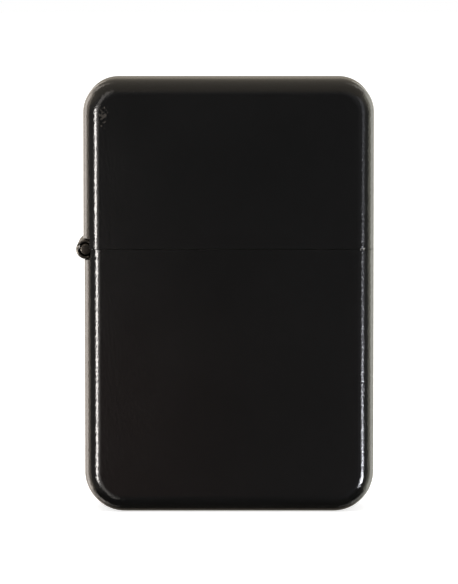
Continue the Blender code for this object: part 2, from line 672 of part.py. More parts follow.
def cotton_pads():
    spans = [
        (PAD_LEFT, PAD_RIGHT),
        (WICK_LEFT_TURN_X, PAD_RIGHT),
        (PAD_LEFT, WICK_RIGHT_TURN_X),
        (WICK_LEFT_TURN_X, PAD_RIGHT),
        (PAD_LEFT + LAST_PAD_INSET, PAD_RIGHT - LAST_PAD_INSET),
    ]
    pads = []
    for index, (left, right) in enumerate(spans):
        thick = PAD_THICK if index < len(spans) - 1 else LAST_PAD_THICK
        low = (left, -PAD_HALF, pad_top(index) - thick)
        high = (right, PAD_HALF, pad_top(index))
        name = f"cotton_pad_{index + 1}"
        pad = add_part(name, block(name, low, high), COTTON)
        soft = pad.modifiers.new("Soft edges", "BEVEL")
        soft.width = PAD_ROUND
        soft.segments = PAD_EDGE_STEPS
        if right > WHEEL_X:
            ends = (WHEEL_X, 0, 0), (WHEEL_X, 0, CASE_H)
            combine(pad, "DIFFERENCE", rod("tube_room", *ends, TUBE_R + CLEAR))
        pads.append(pad)
    ends = (WICK_X, 0, pad_top(1)), (WICK_X, 0, CASE_H)
    combine(pads[0], "DIFFERENCE", rod("wick_room", *ends, WICK_R + CLEAR))
    return pads


def felt_pad():
    low = (FELT_LEFT, -FELT_HALF, FELT_BOTTOM)
    high = (FELT_RIGHT, FELT_HALF, FELT_TOP)
    pad = add_part("felt_pad", rounded_slab("felt", low, high, 2 * PAD_ROUND), FELT)
    ends = (WHEEL_X, 0, 0), (WHEEL_X, 0, FELT_TOP + MM)
    combine(pad, "DIFFERENCE", rod("screw_room", *ends, SCREW_HEAD_R + CLEAR))
    return pad


def carry(name, place, parts, parent=None):
    """An empty on a joint's axis that carries the pieces of one moving body."""
    pivot = bpy.data.objects.new(name, None)
    pivot.empty_display_size = 5 * MM
    PARTS.objects.link(pivot)
    pivot.location = place
    for child in parts:
        child.parent = pivot
        child.matrix_parent_inverse = Matrix.Translation(-Vector(place))
    if parent:
        pivot.parent = parent
        pivot.matrix_parent_inverse = Matrix.Translation(-parent.location)
    return pivot


def build():
    lid = case_and_lid()
    lower_leaf()
    hinge_pin()
    carry("lid_pivot", (HINGE_X, 0, SEAM_Z), [lid, upper_leaf()])

    fixed, feeding, screwed = flint_column()
    fixed += [insert_tank(), top_plate(), chimney(), cam_spring(), wick(), felt_pad()]
    fixed += cotton_pads()
    fixed.append(rivet("wheel_rivet", WHEEL_X, WHEEL_Z, WHEEL_RIVET_R, WHEEL_RIVET_HEAD_R, EAR_HALF))
    lug_face = LUG_Y + LUG_SHEET / 2
    fixed.append(rivet("cam_rivet", CAM_X, CAM_Z, CAM_RIVET_R, CAM_RIVET_HEAD_R, lug_face))
    insert = carry("insert_pivot", (0, 0, TANK_BOTTOM), fixed)
    carry("cam_pivot", (CAM_X, 0, CAM_Z), [cam_lever()], insert)
    carry("wheel_pivot", (WHEEL_X, 0, WHEEL_Z), [striker_wheel()], insert)
    carry("flint_pivot", (WHEEL_X, 0, FLINT_BOTTOM), feeding, insert)
    carry("screw_pivot", (WHEEL_X, 0, SCREW_BOTTOM), screwed, insert)


build()
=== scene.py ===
# %% [markdown]
# # A flip-top petrol lighter
# A closed black lighter stands square to the camera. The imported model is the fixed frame: it says where
# every piece is and what it moves with. This lesson dresses that frame: each rigid piece is modelled again
# with finer edges, the wick, spring and cotton get their real form, and every surface gets a procedural
# finish.

# %% Frame
import json
import math

import bmesh
import bpy
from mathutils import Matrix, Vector

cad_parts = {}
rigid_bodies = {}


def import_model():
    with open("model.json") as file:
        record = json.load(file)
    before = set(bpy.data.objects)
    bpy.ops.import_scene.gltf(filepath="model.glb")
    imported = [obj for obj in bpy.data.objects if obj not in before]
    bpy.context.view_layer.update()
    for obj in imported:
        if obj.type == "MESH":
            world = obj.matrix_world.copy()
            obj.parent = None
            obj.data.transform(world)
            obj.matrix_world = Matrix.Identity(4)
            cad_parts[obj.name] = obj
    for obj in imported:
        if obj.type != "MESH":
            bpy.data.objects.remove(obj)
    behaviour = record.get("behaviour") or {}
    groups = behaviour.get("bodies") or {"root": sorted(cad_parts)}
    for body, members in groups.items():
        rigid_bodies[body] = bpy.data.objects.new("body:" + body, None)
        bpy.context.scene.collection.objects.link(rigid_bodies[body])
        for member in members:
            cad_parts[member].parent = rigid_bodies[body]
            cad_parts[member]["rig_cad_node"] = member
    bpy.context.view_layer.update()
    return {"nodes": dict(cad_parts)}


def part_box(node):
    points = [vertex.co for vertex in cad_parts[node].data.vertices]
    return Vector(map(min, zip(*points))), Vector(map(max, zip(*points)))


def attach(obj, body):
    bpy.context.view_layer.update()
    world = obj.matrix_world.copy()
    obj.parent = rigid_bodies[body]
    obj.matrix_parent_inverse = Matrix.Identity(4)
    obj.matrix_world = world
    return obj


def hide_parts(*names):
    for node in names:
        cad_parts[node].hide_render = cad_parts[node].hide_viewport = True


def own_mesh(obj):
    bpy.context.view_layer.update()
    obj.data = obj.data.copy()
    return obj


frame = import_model()
MM = 0.001

# %% [markdown]
# ## The camera
# The photograph looks straight at the broad face from a little above, through a long lens: the sides lean
# out by less than 1 percent from foot to top. The scale in pixels per millimetre at the edge of the
# silhouette then fixes the focal length for any chosen distance.

# %% Camera
PHOTO_HEIGHT = 584
PIXELS_PER_MM = 7.59
SENSOR_MM = 36
CAMERA_DISTANCE = 650 * MM
CAMERA_ELEVATION = math.radians(4.5)
SILHOUETTE_Y = -4.15 * MM
AIM = Vector((-0.025, 0, 28.65)) * MM

edge_distance_mm = (CAMERA_DISTANCE + SILHOUETTE_Y) / MM
step_back = Vector((0, -math.cos(CAMERA_ELEVATION), math.sin(CAMERA_ELEVATION)))
bpy.ops.object.camera_add(
    location=AIM + CAMERA_DISTANCE * step_back,
    rotation=(math.pi / 2 - CAMERA_ELEVATION, 0, 0),
)
camera = bpy.context.object
camera.name = "photo_camera"
camera.data.sensor_width = SENSOR_MM
camera.data.lens = PIXELS_PER_MM * SENSOR_MM * edge_distance_mm / PHOTO_HEIGHT
bpy.context.scene.camera = camera
bpy.context.scene.view_settings.view_transform = "Standard"
print("lens:", round(camera.data.lens, 1), "mm")

# %% [markdown]
# ## Nodes and colours
# Every finish below is a node graph. One small function adds a node, sets what it is given and links any
# socket that it is given. Colours are written as sRGB hex values, as a paint chart gives them, and turned
# to the linear values that the renderer works in. A pattern's scale is the reciprocal of its size.


# %% Node helpers
def add_node(tree, kind, inputs=None, **settings):
    """Adds a shader node. A socket among the inputs is linked, and anything else is set as a value."""
    node = tree.nodes.new("ShaderNode" + kind)
    for name, value in settings.items():
        setattr(node, name, value)
    for name, value in (inputs or {}).items():
        if isinstance(value, bpy.types.NodeSocket):
            tree.links.new(value, node.inputs[name])
        else:
            node.inputs[name].default_value = value
    return node


def linear(hex_colour):
    """An sRGB hex colour as linear RGBA."""
    channels = [int(hex_colour[i:i + 2], 16) / 255 for i in (1, 3, 5)]
    return (*[c / 12.92 if c <= 0.04045 else ((c + 0.055) / 1.055) ** 2.4 for c in channels], 1)


def per_mm(size):
    """The scale that gives a texture features of a size in millimetres."""
    return 1 / (size * MM)


def new_finish(name):
    """A material, its node tree, its shader and the Object coordinates."""
    material = bpy.data.materials.new(name)
    material.use_nodes = True
    tree = material.node_tree
    place = add_node(tree, "TexCoord").outputs["Object"]
    return material, tree, tree.nodes["Principled BSDF"], place


# %% [markdown]
# ## The studio
# Black enamel has almost no colour of its own, so what it shows is the studio. A white sweep stands behind
# and the camera side is dark, which keeps the broad face black. Rays from the camera see plain white all
# round, while reflected rays see the real fall of light: bright behind and above, dark in front.

# %% World
AMBIENT = 0.55
BEHIND = 0.28
# The level of light at angles on the circle from below, past the camera, over the top and down behind
FALL = (
    (-165, 0.2), (-128, 0.25), (-112, 0.06), (-99, 0.04), (-20, 0.05), (2, 0.05), (9, 0.09), (16, 0.13),
    (23, 0.17), (30, 0.23), (37, 0.29), (44, 0.35), (60, 0.37), (76, 0.44), (95, 0.48), (117, 0.49),
    (132, 0.47), (154, 0.39),
)
WARM, WARM_BEYOND = (1.12, 1.0, 0.82), 20
NEUTRAL = (1, 1, 1)

world = bpy.data.worlds.new("studio")
bpy.context.scene.world = world
world.use_nodes = True
sky = world.node_tree
ray = add_node(sky, "LightPath").outputs
way = add_node(sky, "SeparateXYZ", {"Vector": add_node(sky, "TexCoord").outputs["Generated"]}).outputs
to_camera = add_node(sky, "Math", {0: way["Y"], 1: -1.0}, operation="MULTIPLY").outputs[0]
around = add_node(sky, "Math", {0: way["Z"], 1: to_camera}, operation="ARCTAN2").outputs[0]
fall = add_node(sky, "MapRange", {"Value": around, "From Min": -math.pi, "From Max": math.pi}).outputs[0]
ramp = add_node(sky, "ValToRGB", {"Fac": fall})
for stop in ramp.color_ramp.elements:
    stop.color = (*[BEHIND * share for share in WARM], 1)
for angle, level in FALL:
    tint = WARM if abs(angle) > WARM_BEYOND else NEUTRAL
    stop = ramp.color_ramp.elements.new((angle + 180) / 360)
    stop.color = (*[level * share for share in tint], 1)
reflected = add_node(sky, "Math", {0: ray["Is Glossy Ray"], 1: ray["Is Transmission Ray"]},
                     operation="MAXIMUM")
lit = add_node(sky, "Mix", {0: reflected.outputs[0], 6: (AMBIENT,) * 3 + (1,), 7: ramp.outputs["Color"]},
               data_type="RGBA")
seen = add_node(sky, "Mix", {0: ray["Is Camera Ray"], 6: lit.outputs[2], 7: (1, 1, 1, 1)}, data_type="RGBA")
sky.links.new(seen.outputs[2], sky.nodes["Background"].inputs["Color"])
print("world:", len(ramp.color_ramp.elements), "levels of reflected light")

# %% [markdown]
# ## The floor
# A pale sheet of paper. It scatters light as paper does and keeps the shadow under the lighter. A part of
# its white is given to camera rays alone, so that it runs into the white behind without lighting the object
# more. Reflections don't see it: in the photograph the cards at the sides run on below the foot of the
# lighter.

# %% Floor
FLOOR_SIZE = 6
FLOOR_DROP = 0.02 * MM
FLOOR_WHITE = 0.75
PAPER_GRAIN_MM = 0.8
bpy.ops.object.select_all(action="DESELECT")
bpy.ops.mesh.primitive_plane_add(size=FLOOR_SIZE, location=(0, 0, -FLOOR_DROP))
floor = bpy.context.object
floor.name = "paper_floor"
paper, tree, shader, place = new_finish("white_paper")
ray = add_node(tree, "LightPath").outputs
grain = add_node(tree, "TexNoise", {"Vector": place, "Scale": per_mm(PAPER_GRAIN_MM), "Detail": 4})
colour = add_node(tree, "Mix", {0: grain.outputs[0], 6: linear("#f1f0ee"), 7: linear("#f6f5f4")},
                  data_type="RGBA")
tree.links.new(colour.outputs[2], shader.inputs["Base Color"])
shader.inputs["Roughness"].default_value = 1
shader.inputs["Specular IOR Level"].default_value = 0
shader.inputs["Emission Color"].default_value = (1, 1, 1, 1)
glow = add_node(tree, "Math", {0: ray["Is Camera Ray"], 1: FLOOR_WHITE}, operation="MULTIPLY")
tree.links.new(glow.outputs[0], shader.inputs["Emission Strength"])
floor.data.materials.append(paper)
floor.visible_glossy = False
print("floor:", floor.name, "of", paper.name)

# %% [markdown]
# ## The overhead lamp
# One broad lamp overhead gives the plain soft light that colours are judged by. Reflections don't see it,
# so it draws no shape on the enamel. What reflections see comes next.


# %% Overhead lamp
def add_lamp(name, place, out, size, radiance, tint, for_gloss):
    """A rectangular lamp that shines back along the direction out, on reflections alone or on all else."""
    bpy.ops.object.light_add(type="AREA", location=place)
    lamp = bpy.context.object
    lamp.name = name
    lamp.rotation_euler = out.to_track_quat("Z", "Y").to_euler()
    lamp.data.shape = "RECTANGLE"
    lamp.data.size, lamp.data.size_y = size
    lamp.data.energy = radiance * math.pi * size[0] * size[1]
    lamp.data.color = linear(tint)[:3]
    lamp.visible_camera = False
    lamp.visible_diffuse = not for_gloss
    lamp.visible_glossy = for_gloss


OVERHEAD_OUT = Vector((-0.07, -0.2, 0.98)).normalized()
OVERHEAD_DISTANCE = 0.6
OVERHEAD_SIZE = (0.5, 0.5)
OVERHEAD_RADIANCE = 2.4
add_lamp("overhead", AIM + OVERHEAD_DISTANCE * OVERHEAD_OUT, OVERHEAD_OUT, OVERHEAD_SIZE, OVERHEAD_RADIANCE,
         "#ffffff", for_gloss=False)
print("overhead lamp:", OVERHEAD_DISTANCE, "m away")

# %% [markdown]
# ## The cards
# White cards that only reflections see are placed by what the photograph shows on the rounded edges: a
# bright wall at each side just behind the lighter, a tall thin strip at the front left that draws the long
# white line, and a low strip at the front right whose line fades towards the lid. Dim cards beside the
# strips make the soft tail of each line.

# %% Cards
CARD_DISTANCE = 400 * MM
TALL = (-300, 300)
# Each card has a bearing and a width in degrees, counted from the camera towards the hinge side, its lower
# and upper edge in millimetres from the middle of the lighter, its radiance and its tint
CARDS = [
    ("left_far_wall", 145, 38, *TALL, 1.3, "#fff4ea"),
    ("left_soft_wall", 90, 20, *TALL, 1.2, "#fff0de"),
    ("left_gap", 57, 42, *TALL, 0.16, "#fff4ea"),
    ("left_strip", 30.5, 10, -62, 42, 25, "#fffaf6"),
    ("left_strip_foot", 33.5, 10, -146, -62, 25, "#fffaf6"),
    ("left_glow", 20, 11, *TALL, 1.3, "#fff8f2"),
    ("left_dim_glow", 12, 6, *TALL, 0.5, "#fff8f2"),
    ("left_faint_glow", 7, 4, *TALL, 0.06, "#fff8f2"),
    ("left_low_glow", 6, 10, -115, -34, 0.08, "#ffb09c"),
    ("right_far_wall", -145, 38, *TALL, 1.1, "#fbfbf2"),
    ("right_soft_wall", -91, 22, *TALL, 1.2, "#f6f6e2"),
    ("right_gap", -66, 28, *TALL, 0.16, "#fbfbf2"),
    ("right_strip_foot", -41, 12, -170, -80, 50, "#f4f6ff"),
    ("right_strip_low", -36, 7, -80, -54, 17, "#f4f6ff"),
    ("right_strip_mid", -42, 14, -54, -20, 2.4, "#f4f6ff"),
    ("right_strip_top", -42, 20, -20, 200, 0.65, "#f4f6ff"),
    ("right_glow", -19, 16, *TALL, 0.12, "#f8f8ff"),
    ("right_faint_glow", -7, 8, *TALL, 0.05, "#f8f8ff"),
    ("front_low", 0, 74, -115, -25, 0.02, "#ffe6da"),
]
# The two side walls fade towards the floor and the ceiling: lower edge, upper edge, share of the full light
WALL_STEPS = ((-2000, -700, 0.15), (-700, -250, 0.45), (-250, 250, 1), (250, 700, 0.45), (700, 2000, 0.15))
LEFT_WALL, RIGHT_WALL = 3.7, 2.6
for low, high, share in WALL_STEPS:
    CARDS.append(("left_wall", 113, 26, low, high, LEFT_WALL * share, "#fff4ea"))
    CARDS.append(("right_wall", -114, 24, low, high, RIGHT_WALL * share, "#fbfbf2"))
for name, bearing, degrees, low, high, radiance, tint in CARDS:
    turn = math.radians(bearing)
    out = Vector((-math.sin(turn), -math.cos(turn), 0))
    middle = AIM + CARD_DISTANCE * out + Vector((0, 0, (low + high) / 2)) * MM
    width = 2 * CARD_DISTANCE * math.tan(math.radians(degrees / 2))
    add_lamp(name, middle, out, (width, (high - low) * MM), radiance, tint, for_gloss=True)
print("cards:", len(CARDS))

# %% [markdown]
# ## Starting and picking
# The pieces are made as they would be by hand: a primitive, edit mode, a selection, an operator. With no
# window nothing can be clicked, so faces and edges are selected by where they lie.

# %% Starting and picking
TOUCH = 0.005 * MM
MERGE = MM / 1000


def only(piece):
    """Makes a piece the one selected and active object."""
    bpy.ops.object.select_all(action="DESELECT")
    piece.select_set(True)
    bpy.context.view_layer.objects.active = piece


def start_piece(name, add_primitive, scale=(1, 1, 1), **settings):
    """A new primitive, alone in the selection, with its place and size in its mesh."""
    bpy.ops.object.select_all(action="DESELECT")
    add_primitive(**settings)
    piece = bpy.context.object
    piece.name = piece.data.name = name
    piece.scale = scale
    bpy.ops.object.transform_apply(location=True, rotation=True, scale=True)
    return piece


def edit(piece):
    """Edit mode on one piece."""
    only(piece)
    bpy.ops.object.mode_set(mode="EDIT")


def leave():
    """Back to object mode."""
    bpy.ops.object.mode_set(mode="OBJECT")


def lies_on(element, axis, value):
    """Whether a vertex, edge or face lies in the plane where that coordinate has that value."""
    corners = [element] if isinstance(element, bmesh.types.BMVert) else element.verts
    return all(abs(corner.co[axis] - value) < TOUCH for corner in corners)


def pick(kind, test):
    """Selects, in edit mode, the vertices, edges or faces that pass a test."""
    bpy.ops.mesh.select_mode(type=kind)
    bpy.ops.mesh.select_all(action="DESELECT")
    mesh = bmesh.from_edit_mesh(bpy.context.object.data)
    for element in {"VERT": mesh.verts, "EDGE": mesh.edges, "FACE": mesh.faces}[kind]:
        if test(element):
            element.select_set(True)
    mesh.select_flush_mode()
    bmesh.update_edit_mesh(bpy.context.object.data)


def move_points(piece, places):
    """Moves a mesh's points, in their order, to new places, in edit mode."""
    mesh = bmesh.from_edit_mesh(piece.data)
    mesh.verts.ensure_lookup_table()
    for vert, place in zip(mesh.verts, places):
        vert.co = place
    bmesh.update_edit_mesh(piece.data)


def extrude(*step):
    """Extrudes what is selected by a step."""
    bpy.ops.mesh.extrude_region_move(TRANSFORM_OT_translate={"value": step})


def merge_points():
    """Joins points that lie on each other, in edit mode."""
    bpy.ops.mesh.select_all(action="SELECT")
    bpy.ops.mesh.remove_doubles(threshold=MERGE)


def turn_faces_out():
    """Points all faces outwards, in edit mode."""
    bpy.ops.mesh.select_all(action="SELECT")
    bpy.ops.mesh.normals_make_consistent(inside=False)


# %% [markdown]
# ## Cutting and softening
# Modifiers do what a workshop does after the rough shape: cut holes, give sheet its thickness and round the
# edges. Each is applied at once, so that the next step works on real faces.

# %% Cutting and softening
ROUND = 48
ACROSS = (math.pi / 2, 0, 0)
WELD = MM / 500


def apply_modifier(piece, kind, **settings):
    """Adds a modifier and applies it."""
    modifier = piece.modifiers.new(kind.title(), kind)
    for name, value in settings.items():
        setattr(modifier, name, value)
    bpy.context.view_layer.objects.active = piece
    bpy.ops.object.modifier_apply(modifier=modifier.name)


def combine(piece, helper, operation="DIFFERENCE"):
    """Cuts a helper out of a piece, joins it on, or keeps what lies in both, and removes the helper."""
    apply_modifier(piece, "BOOLEAN", object=helper, operation=operation, solver="EXACT")
    bpy.data.objects.remove(helper)


def mirror_sheet(piece, sheet):
    """Mirrors half a bent sheet to the far side and gives it its thickness."""
    apply_modifier(piece, "MIRROR", use_axis=(False, True, False), merge_threshold=MERGE)
    edit(piece)
    turn_faces_out()
    leave()
    apply_modifier(piece, "SOLIDIFY", thickness=sheet, offset=0, use_even_offset=True)


def block(name, low, high):
    """A box between two corners."""
    size = Vector(high) - Vector(low)
    middle = (Vector(high) + Vector(low)) / 2
    return start_piece(name, bpy.ops.mesh.primitive_cube_add, size=1, location=middle, scale=size)


def cross_rod(name, x, z, radius, half_length):
    """A round bar along the depth of the lighter, for cutting."""
    return start_piece(name, bpy.ops.mesh.primitive_cylinder_add, vertices=ROUND, radius=radius,
                       depth=2 * half_length, location=(x, 0, z), rotation=ACROSS)


def soften(piece, width, segments=2, angle=40):
    """Rounds every edge that is sharper than an angle, as tumbling or deburring does."""
    apply_modifier(piece, "WELD", merge_threshold=WELD)
    apply_modifier(piece, "BEVEL", width=width, segments=segments, limit_method="ANGLE",
                   angle_limit=math.radians(angle), use_clamp_overlap=False)


# %% [markdown]
# ## Onto the frame
# Each finished piece stands for one solid of the frame, which it hides, and rides on the body that the
# solid belongs to. Its shading is smooth, except at edges that turn by more than a set angle.

# %% Onto the frame
SMOOTH_BELOW = math.radians(35)


def put_on_frame(piece, node, body, slot, *finishes):
    """Smooth shading, the finish, and the piece's place in the frame."""
    only(piece)
    bpy.ops.object.shade_smooth_by_angle(angle=SMOOTH_BELOW)
    apply_modifier(piece, "WEIGHTED_NORMAL", keep_sharp=True)
    if not piece.data.materials:
        for finish in finishes:
            piece.data.materials.append(finish)
    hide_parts(node)
    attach(piece, body)
    print(piece.name, "replaces", node, "with", len(piece.data.polygons), "faces")


# %% [markdown]
# ## The skin of black crackle enamel
# The shells are drawn brass under a baked black enamel that dries with a fine skin of wrinkles, like orange
# peel a third of a millimetre across. The eye gets a deep black and reflections with a grainy edge.
# Modelled wrinkles would take millions of faces, so a bump makes them: rounded cells bent out of line, with
# a grain about as fine as the picture can show. The skin is coarser off the broad faces, where drawing
# stretched the sheet.

# %% Enamel skin
CELL_MM, GRAIN_MM = 0.33, 0.2
WOBBLE_MM, WOBBLE_REACH = 0.7, 0.2 * MM
SKIN_RELIEF = 0.04 * MM
SKIN_ON_FLAT, SKIN_ON_EDGE = 0.2, 0.4
EDGE_FACING, FLAT_FACING = 0.96, 0.995


def wrinkled_skin(tree, place):
    """The bumped normal of the enamel."""
    wobble = add_node(tree, "TexNoise", {"Vector": place, "Scale": per_mm(WOBBLE_MM), "Detail": 2})
    bent = add_node(tree, "VectorMath", {0: wobble.outputs["Color"], 1: (WOBBLE_REACH,) * 3, 2: place},
                    operation="MULTIPLY_ADD")
    cells = add_node(tree, "TexVoronoi", {"Vector": bent.outputs[0], "Scale": per_mm(CELL_MM)},
                     feature="SMOOTH_F1")
    grain = add_node(tree, "TexNoise", {"Vector": place, "Scale": per_mm(GRAIN_MM), "Detail": 1})
    height = add_node(tree, "Math", {0: grain.outputs[0], 1: cells.outputs[0]}, operation="ADD")
    normal = add_node(tree, "TexCoord").outputs["Normal"]
    facing = add_node(tree, "SeparateXYZ", {"Vector": normal}).outputs["Y"]
    flat = add_node(tree, "Math", {0: facing}, operation="ABSOLUTE")
    strength = add_node(tree, "MapRange", {
        "Value": flat.outputs[0], "From Min": EDGE_FACING, "From Max": FLAT_FACING,
        "To Min": SKIN_ON_EDGE, "To Max": SKIN_ON_FLAT,
    })
    bump = add_node(tree, "Bump", {"Height": height.outputs[0], "Strength": strength.outputs[0],
                                   "Distance": SKIN_RELIEF})
    return bump.outputs[0]


# %% [markdown]
# ## Handling and dust
# A lighter that has been carried has a film from fingers, in slow patches that change the gloss a little,
# and a few specks of dust. Each speck is the middle of a wide Voronoi cell, and only some of the cells have
# one.

# %% Handling and dust
FILM_MM = 11
GLOSS_CLEAN, GLOSS_FILMED = 0.13, 0.2
DUST_CELL_MM, SPECK_REACH, DUSTY_ABOVE = 7, 0.012, 0.45


def handled_black(tree, place):
    """The colour and the roughness of black enamel under a film and some dust."""
    film = add_node(tree, "TexNoise", {"Vector": place, "Scale": per_mm(FILM_MM), "Detail": 4})
    black = add_node(tree, "Mix", {0: film.outputs[0], 6: linear("#0c0c0c"), 7: linear("#121212")},
                     data_type="RGBA")
    gloss = add_node(tree, "MapRange", {"Value": film.outputs[0], "To Min": GLOSS_CLEAN,
                                        "To Max": GLOSS_FILMED})
    specks = add_node(tree, "TexVoronoi", {"Vector": place, "Scale": per_mm(DUST_CELL_MM)})
    small = add_node(tree, "Math", {0: specks.outputs["Distance"], 1: SPECK_REACH}, operation="LESS_THAN")
    some = add_node(tree, "Math", {0: specks.outputs["Color"], 1: DUSTY_ABOVE}, operation="GREATER_THAN")
    dust = add_node(tree, "Math", {0: small.outputs[0], 1: some.outputs[0]}, operation="MULTIPLY")
    dusty = add_node(tree, "Mix", {0: dust.outputs[0], 6: black.outputs[2], 7: linear("#4c4844")},
                     data_type="RGBA")
    return dusty.outputs[2], gloss.outputs[0]


# %% [markdown]
# ## Scuffs and chips
# The upper corner of the lid on the hinge side has dull rubbed marks, and the rims have knocked together
# along the seam, most of all at the end away from the hinge, where the grey undercoat shows. Both are a
# noise that is lifted near a place and cut off at a level.

# %% Scuffs and chips
SEAM_Z = 34.7 * MM
SCUFF_MIDDLE = Vector((-16.6, -6.3, 52.4)) * MM
SCUFF_SIZE = Vector((0.6, 1, 1.5)) * MM
SCUFF_MM, SCUFF_FADE, SCUFF_EDGE = 0.4, -0.2, (0.38, 0.48)
KNOCK_MIDDLE = Vector((17.3, -5.8, SEAM_Z / MM)) * MM
KNOCK_SIZE = Vector((1.2, 1.5, 1)) * MM
CHIP_MM, CHIP_ABOVE, KNOCK_LIFT = 0.35, 0.77, 0.27
CHIP_BAND = 0.24 * MM


def away_from(tree, place, middle, size):
    """The distance from a middle, counted in lengths of the size."""
    near = add_node(tree, "Mapping", {"Vector": place, "Location": middle, "Scale": size},
                    vector_type="TEXTURE")
    return add_node(tree, "VectorMath", {0: near.outputs[0]}, operation="LENGTH").outputs["Value"]


def scuffed(tree, place, under):
    """A colour with rubbed marks over it."""
    scratch = add_node(tree, "TexNoise", {"Vector": place, "Scale": per_mm(SCUFF_MM), "Detail": 2})
    away = away_from(tree, place, SCUFF_MIDDLE, SCUFF_SIZE)
    faded = add_node(tree, "Math", {0: away, 1: SCUFF_FADE, 2: scratch.outputs[0]}, operation="MULTIPLY_ADD")
    rubbed = add_node(tree, "MapRange", {"Value": faded.outputs[0], "From Min": SCUFF_EDGE[0],
                                         "From Max": SCUFF_EDGE[1]})
    marked = add_node(tree, "Mix", {0: rubbed.outputs[0], 6: under, 7: linear("#4a4540")}, data_type="RGBA")
    return marked.outputs[2]


def chipped(tree, place, under):
    """A colour with chips along the seam."""
    level = add_node(tree, "SeparateXYZ", {"Vector": place}).outputs["Z"]
    by_seam = add_node(tree, "Math", {0: level, 1: SEAM_Z, 2: CHIP_BAND}, operation="COMPARE")
    knocks = add_node(tree, "TexNoise", {"Vector": place, "Scale": per_mm(CHIP_MM), "Detail": 1})
    away = away_from(tree, place, KNOCK_MIDDLE, KNOCK_SIZE)
    lift = add_node(tree, "MapRange", {"Value": away, "To Min": KNOCK_LIFT, "To Max": 0})
    lifted = add_node(tree, "Math", {0: knocks.outputs[0], 1: lift.outputs[0]}, operation="ADD")
    hit = add_node(tree, "Math", {0: lifted.outputs[0], 1: CHIP_ABOVE}, operation="GREATER_THAN")
    chip = add_node(tree, "Math", {0: by_seam.outputs[0], 1: hit.outputs[0]}, operation="MULTIPLY")
    worn = add_node(tree, "Mix", {0: chip.outputs[0], 6: under, 7: linear("#a8a6a2")}, data_type="RGBA")
    return worn.outputs[2]


# %% [markdown]
# ## The enamel put together
# Enamel is a glass-like resin: a black base with the refraction of lacquer, and a thin clear coat that
# keeps one sharper reflection over the soft one.

# %% Enamel
ENAMEL_IOR = 1.52
COAT_WEIGHT, COAT_ROUGHNESS = 0.3, 0.06


def crackle_enamel():
    """Black baked enamel: deep black, grainy reflections, dust, scuffs and chips."""
    material, tree, shader, place = new_finish("black_crackle_enamel")
    skin = wrinkled_skin(tree, place)
    colour, gloss = handled_black(tree, place)
    worn = chipped(tree, place, scuffed(tree, place, colour))
    tree.links.new(skin, shader.inputs["Normal"])
    tree.links.new(skin, shader.inputs["Coat Normal"])
    tree.links.new(gloss, shader.inputs["Roughness"])
    tree.links.new(worn, shader.inputs["Base Color"])
    shader.inputs["IOR"].default_value = ENAMEL_IOR
    shader.inputs["Coat Weight"].default_value = COAT_WEIGHT
    shader.inputs["Coat Roughness"].default_value = COAT_ROUGHNESS
    return material


ENAMEL = crackle_enamel()
print("finish:", ENAMEL.name, "with", len(ENAMEL.node_tree.nodes), "nodes")

# %% [markdown]
# ## Bare metals
# Inside, nothing is painted. Sheet keeps the fine straight lines of the rolls and belts that made it,
# turned brass keeps rings, and hardened steel is dark from the quench. One function makes them all: a metal
# with lines along one direction, a slow change of tone and a faint relief, each with its own colour, gloss
# and line direction. Real lines are a few hundredths of a millimetre apart; they are drawn coarser, so that
# they show.

# %% Metals
# The range of a noise over which a tone runs from dark to light
TONE_RANGE = {"From Min": 0.3, "From Max": 0.7}
LINE_SHARE = 0.5
LINE_STRENGTH, LINE_RELIEF = 0.25, 0.01 * MM
DULLER_BY = 0.1


def lined_metal(name, light, dark, roughness, line_mm, patch_mm=5):
    """A metal with lines of given spacing along x, y and z, in millimetres."""
    material, tree, shader, place = new_finish(name)
    stretch = add_node(tree, "Mapping", {"Vector": place, "Scale": [per_mm(size) for size in line_mm]})
    lines = add_node(tree, "TexNoise", {"Vector": stretch.outputs[0], "Scale": 1, "Detail": 4})
    patch = add_node(tree, "TexNoise", {"Vector": place, "Scale": per_mm(patch_mm), "Detail": 3})
    both = add_node(tree, "Mix", {0: LINE_SHARE, 2: lines.outputs[0], 3: patch.outputs[0]})
    spaced = add_node(tree, "MapRange", {"Value": both.outputs[0], **TONE_RANGE})
    tone = add_node(tree, "Mix", {0: spaced.outputs[0], 6: linear(dark), 7: linear(light)}, data_type="RGBA")
    gloss = add_node(tree, "MapRange", {"Value": both.outputs[0], **TONE_RANGE,
                                        "To Min": roughness + DULLER_BY, "To Max": roughness})
    bump = add_node(tree, "Bump", {"Height": lines.outputs[0], "Strength": LINE_STRENGTH,
                                   "Distance": LINE_RELIEF})
    tree.links.new(tone.outputs[2], shader.inputs["Base Color"])
    tree.links.new(gloss.outputs[0], shader.inputs["Roughness"])
    tree.links.new(bump.outputs[0], shader.inputs["Normal"])
    shader.inputs["Metallic"].default_value = 1
    print("finish:", name)
    return material


# Deep-drawn brass, nickel plated, unpainted inside: soft vertical draw marks, a little yellow
INNER_PLATE = lined_metal("plated_brass_inside", "#c2bcae", "#96907f", 0.38, (0.12, 0.12, 5))
# Rolled stainless sheet with a satin belt finish: a pale grey with fine level lines
STAINLESS = lined_metal("satin_stainless_sheet", "#d2d0cb", "#a9a6a0", 0.3, (6, 6, 0.1))
# Blackened hinge strip: near black with a sheen, paler where it rubs
HINGE_BLACK = lined_metal("blackened_hinge_strip", "#6a655e", "#1d1c1b", 0.18, (0.2, 4, 0.2))
# Drawn wire of the pins and rivets: bright, with fine rings from the drawing die
PIN_STEEL = lined_metal("drawn_pin_wire", "#bdb9b2", "#8b8780", 0.24, (0.3, 0.15, 0.3), patch_mm=2)
# Hardened steel of the wheel: dark grey from the quench, dull in the cuts
WHEEL_STEEL = lined_metal("quenched_wheel_steel", "#8f8b86", "#4f4c49", 0.36, (0.2, 0.2, 0.2), patch_mm=1.5)
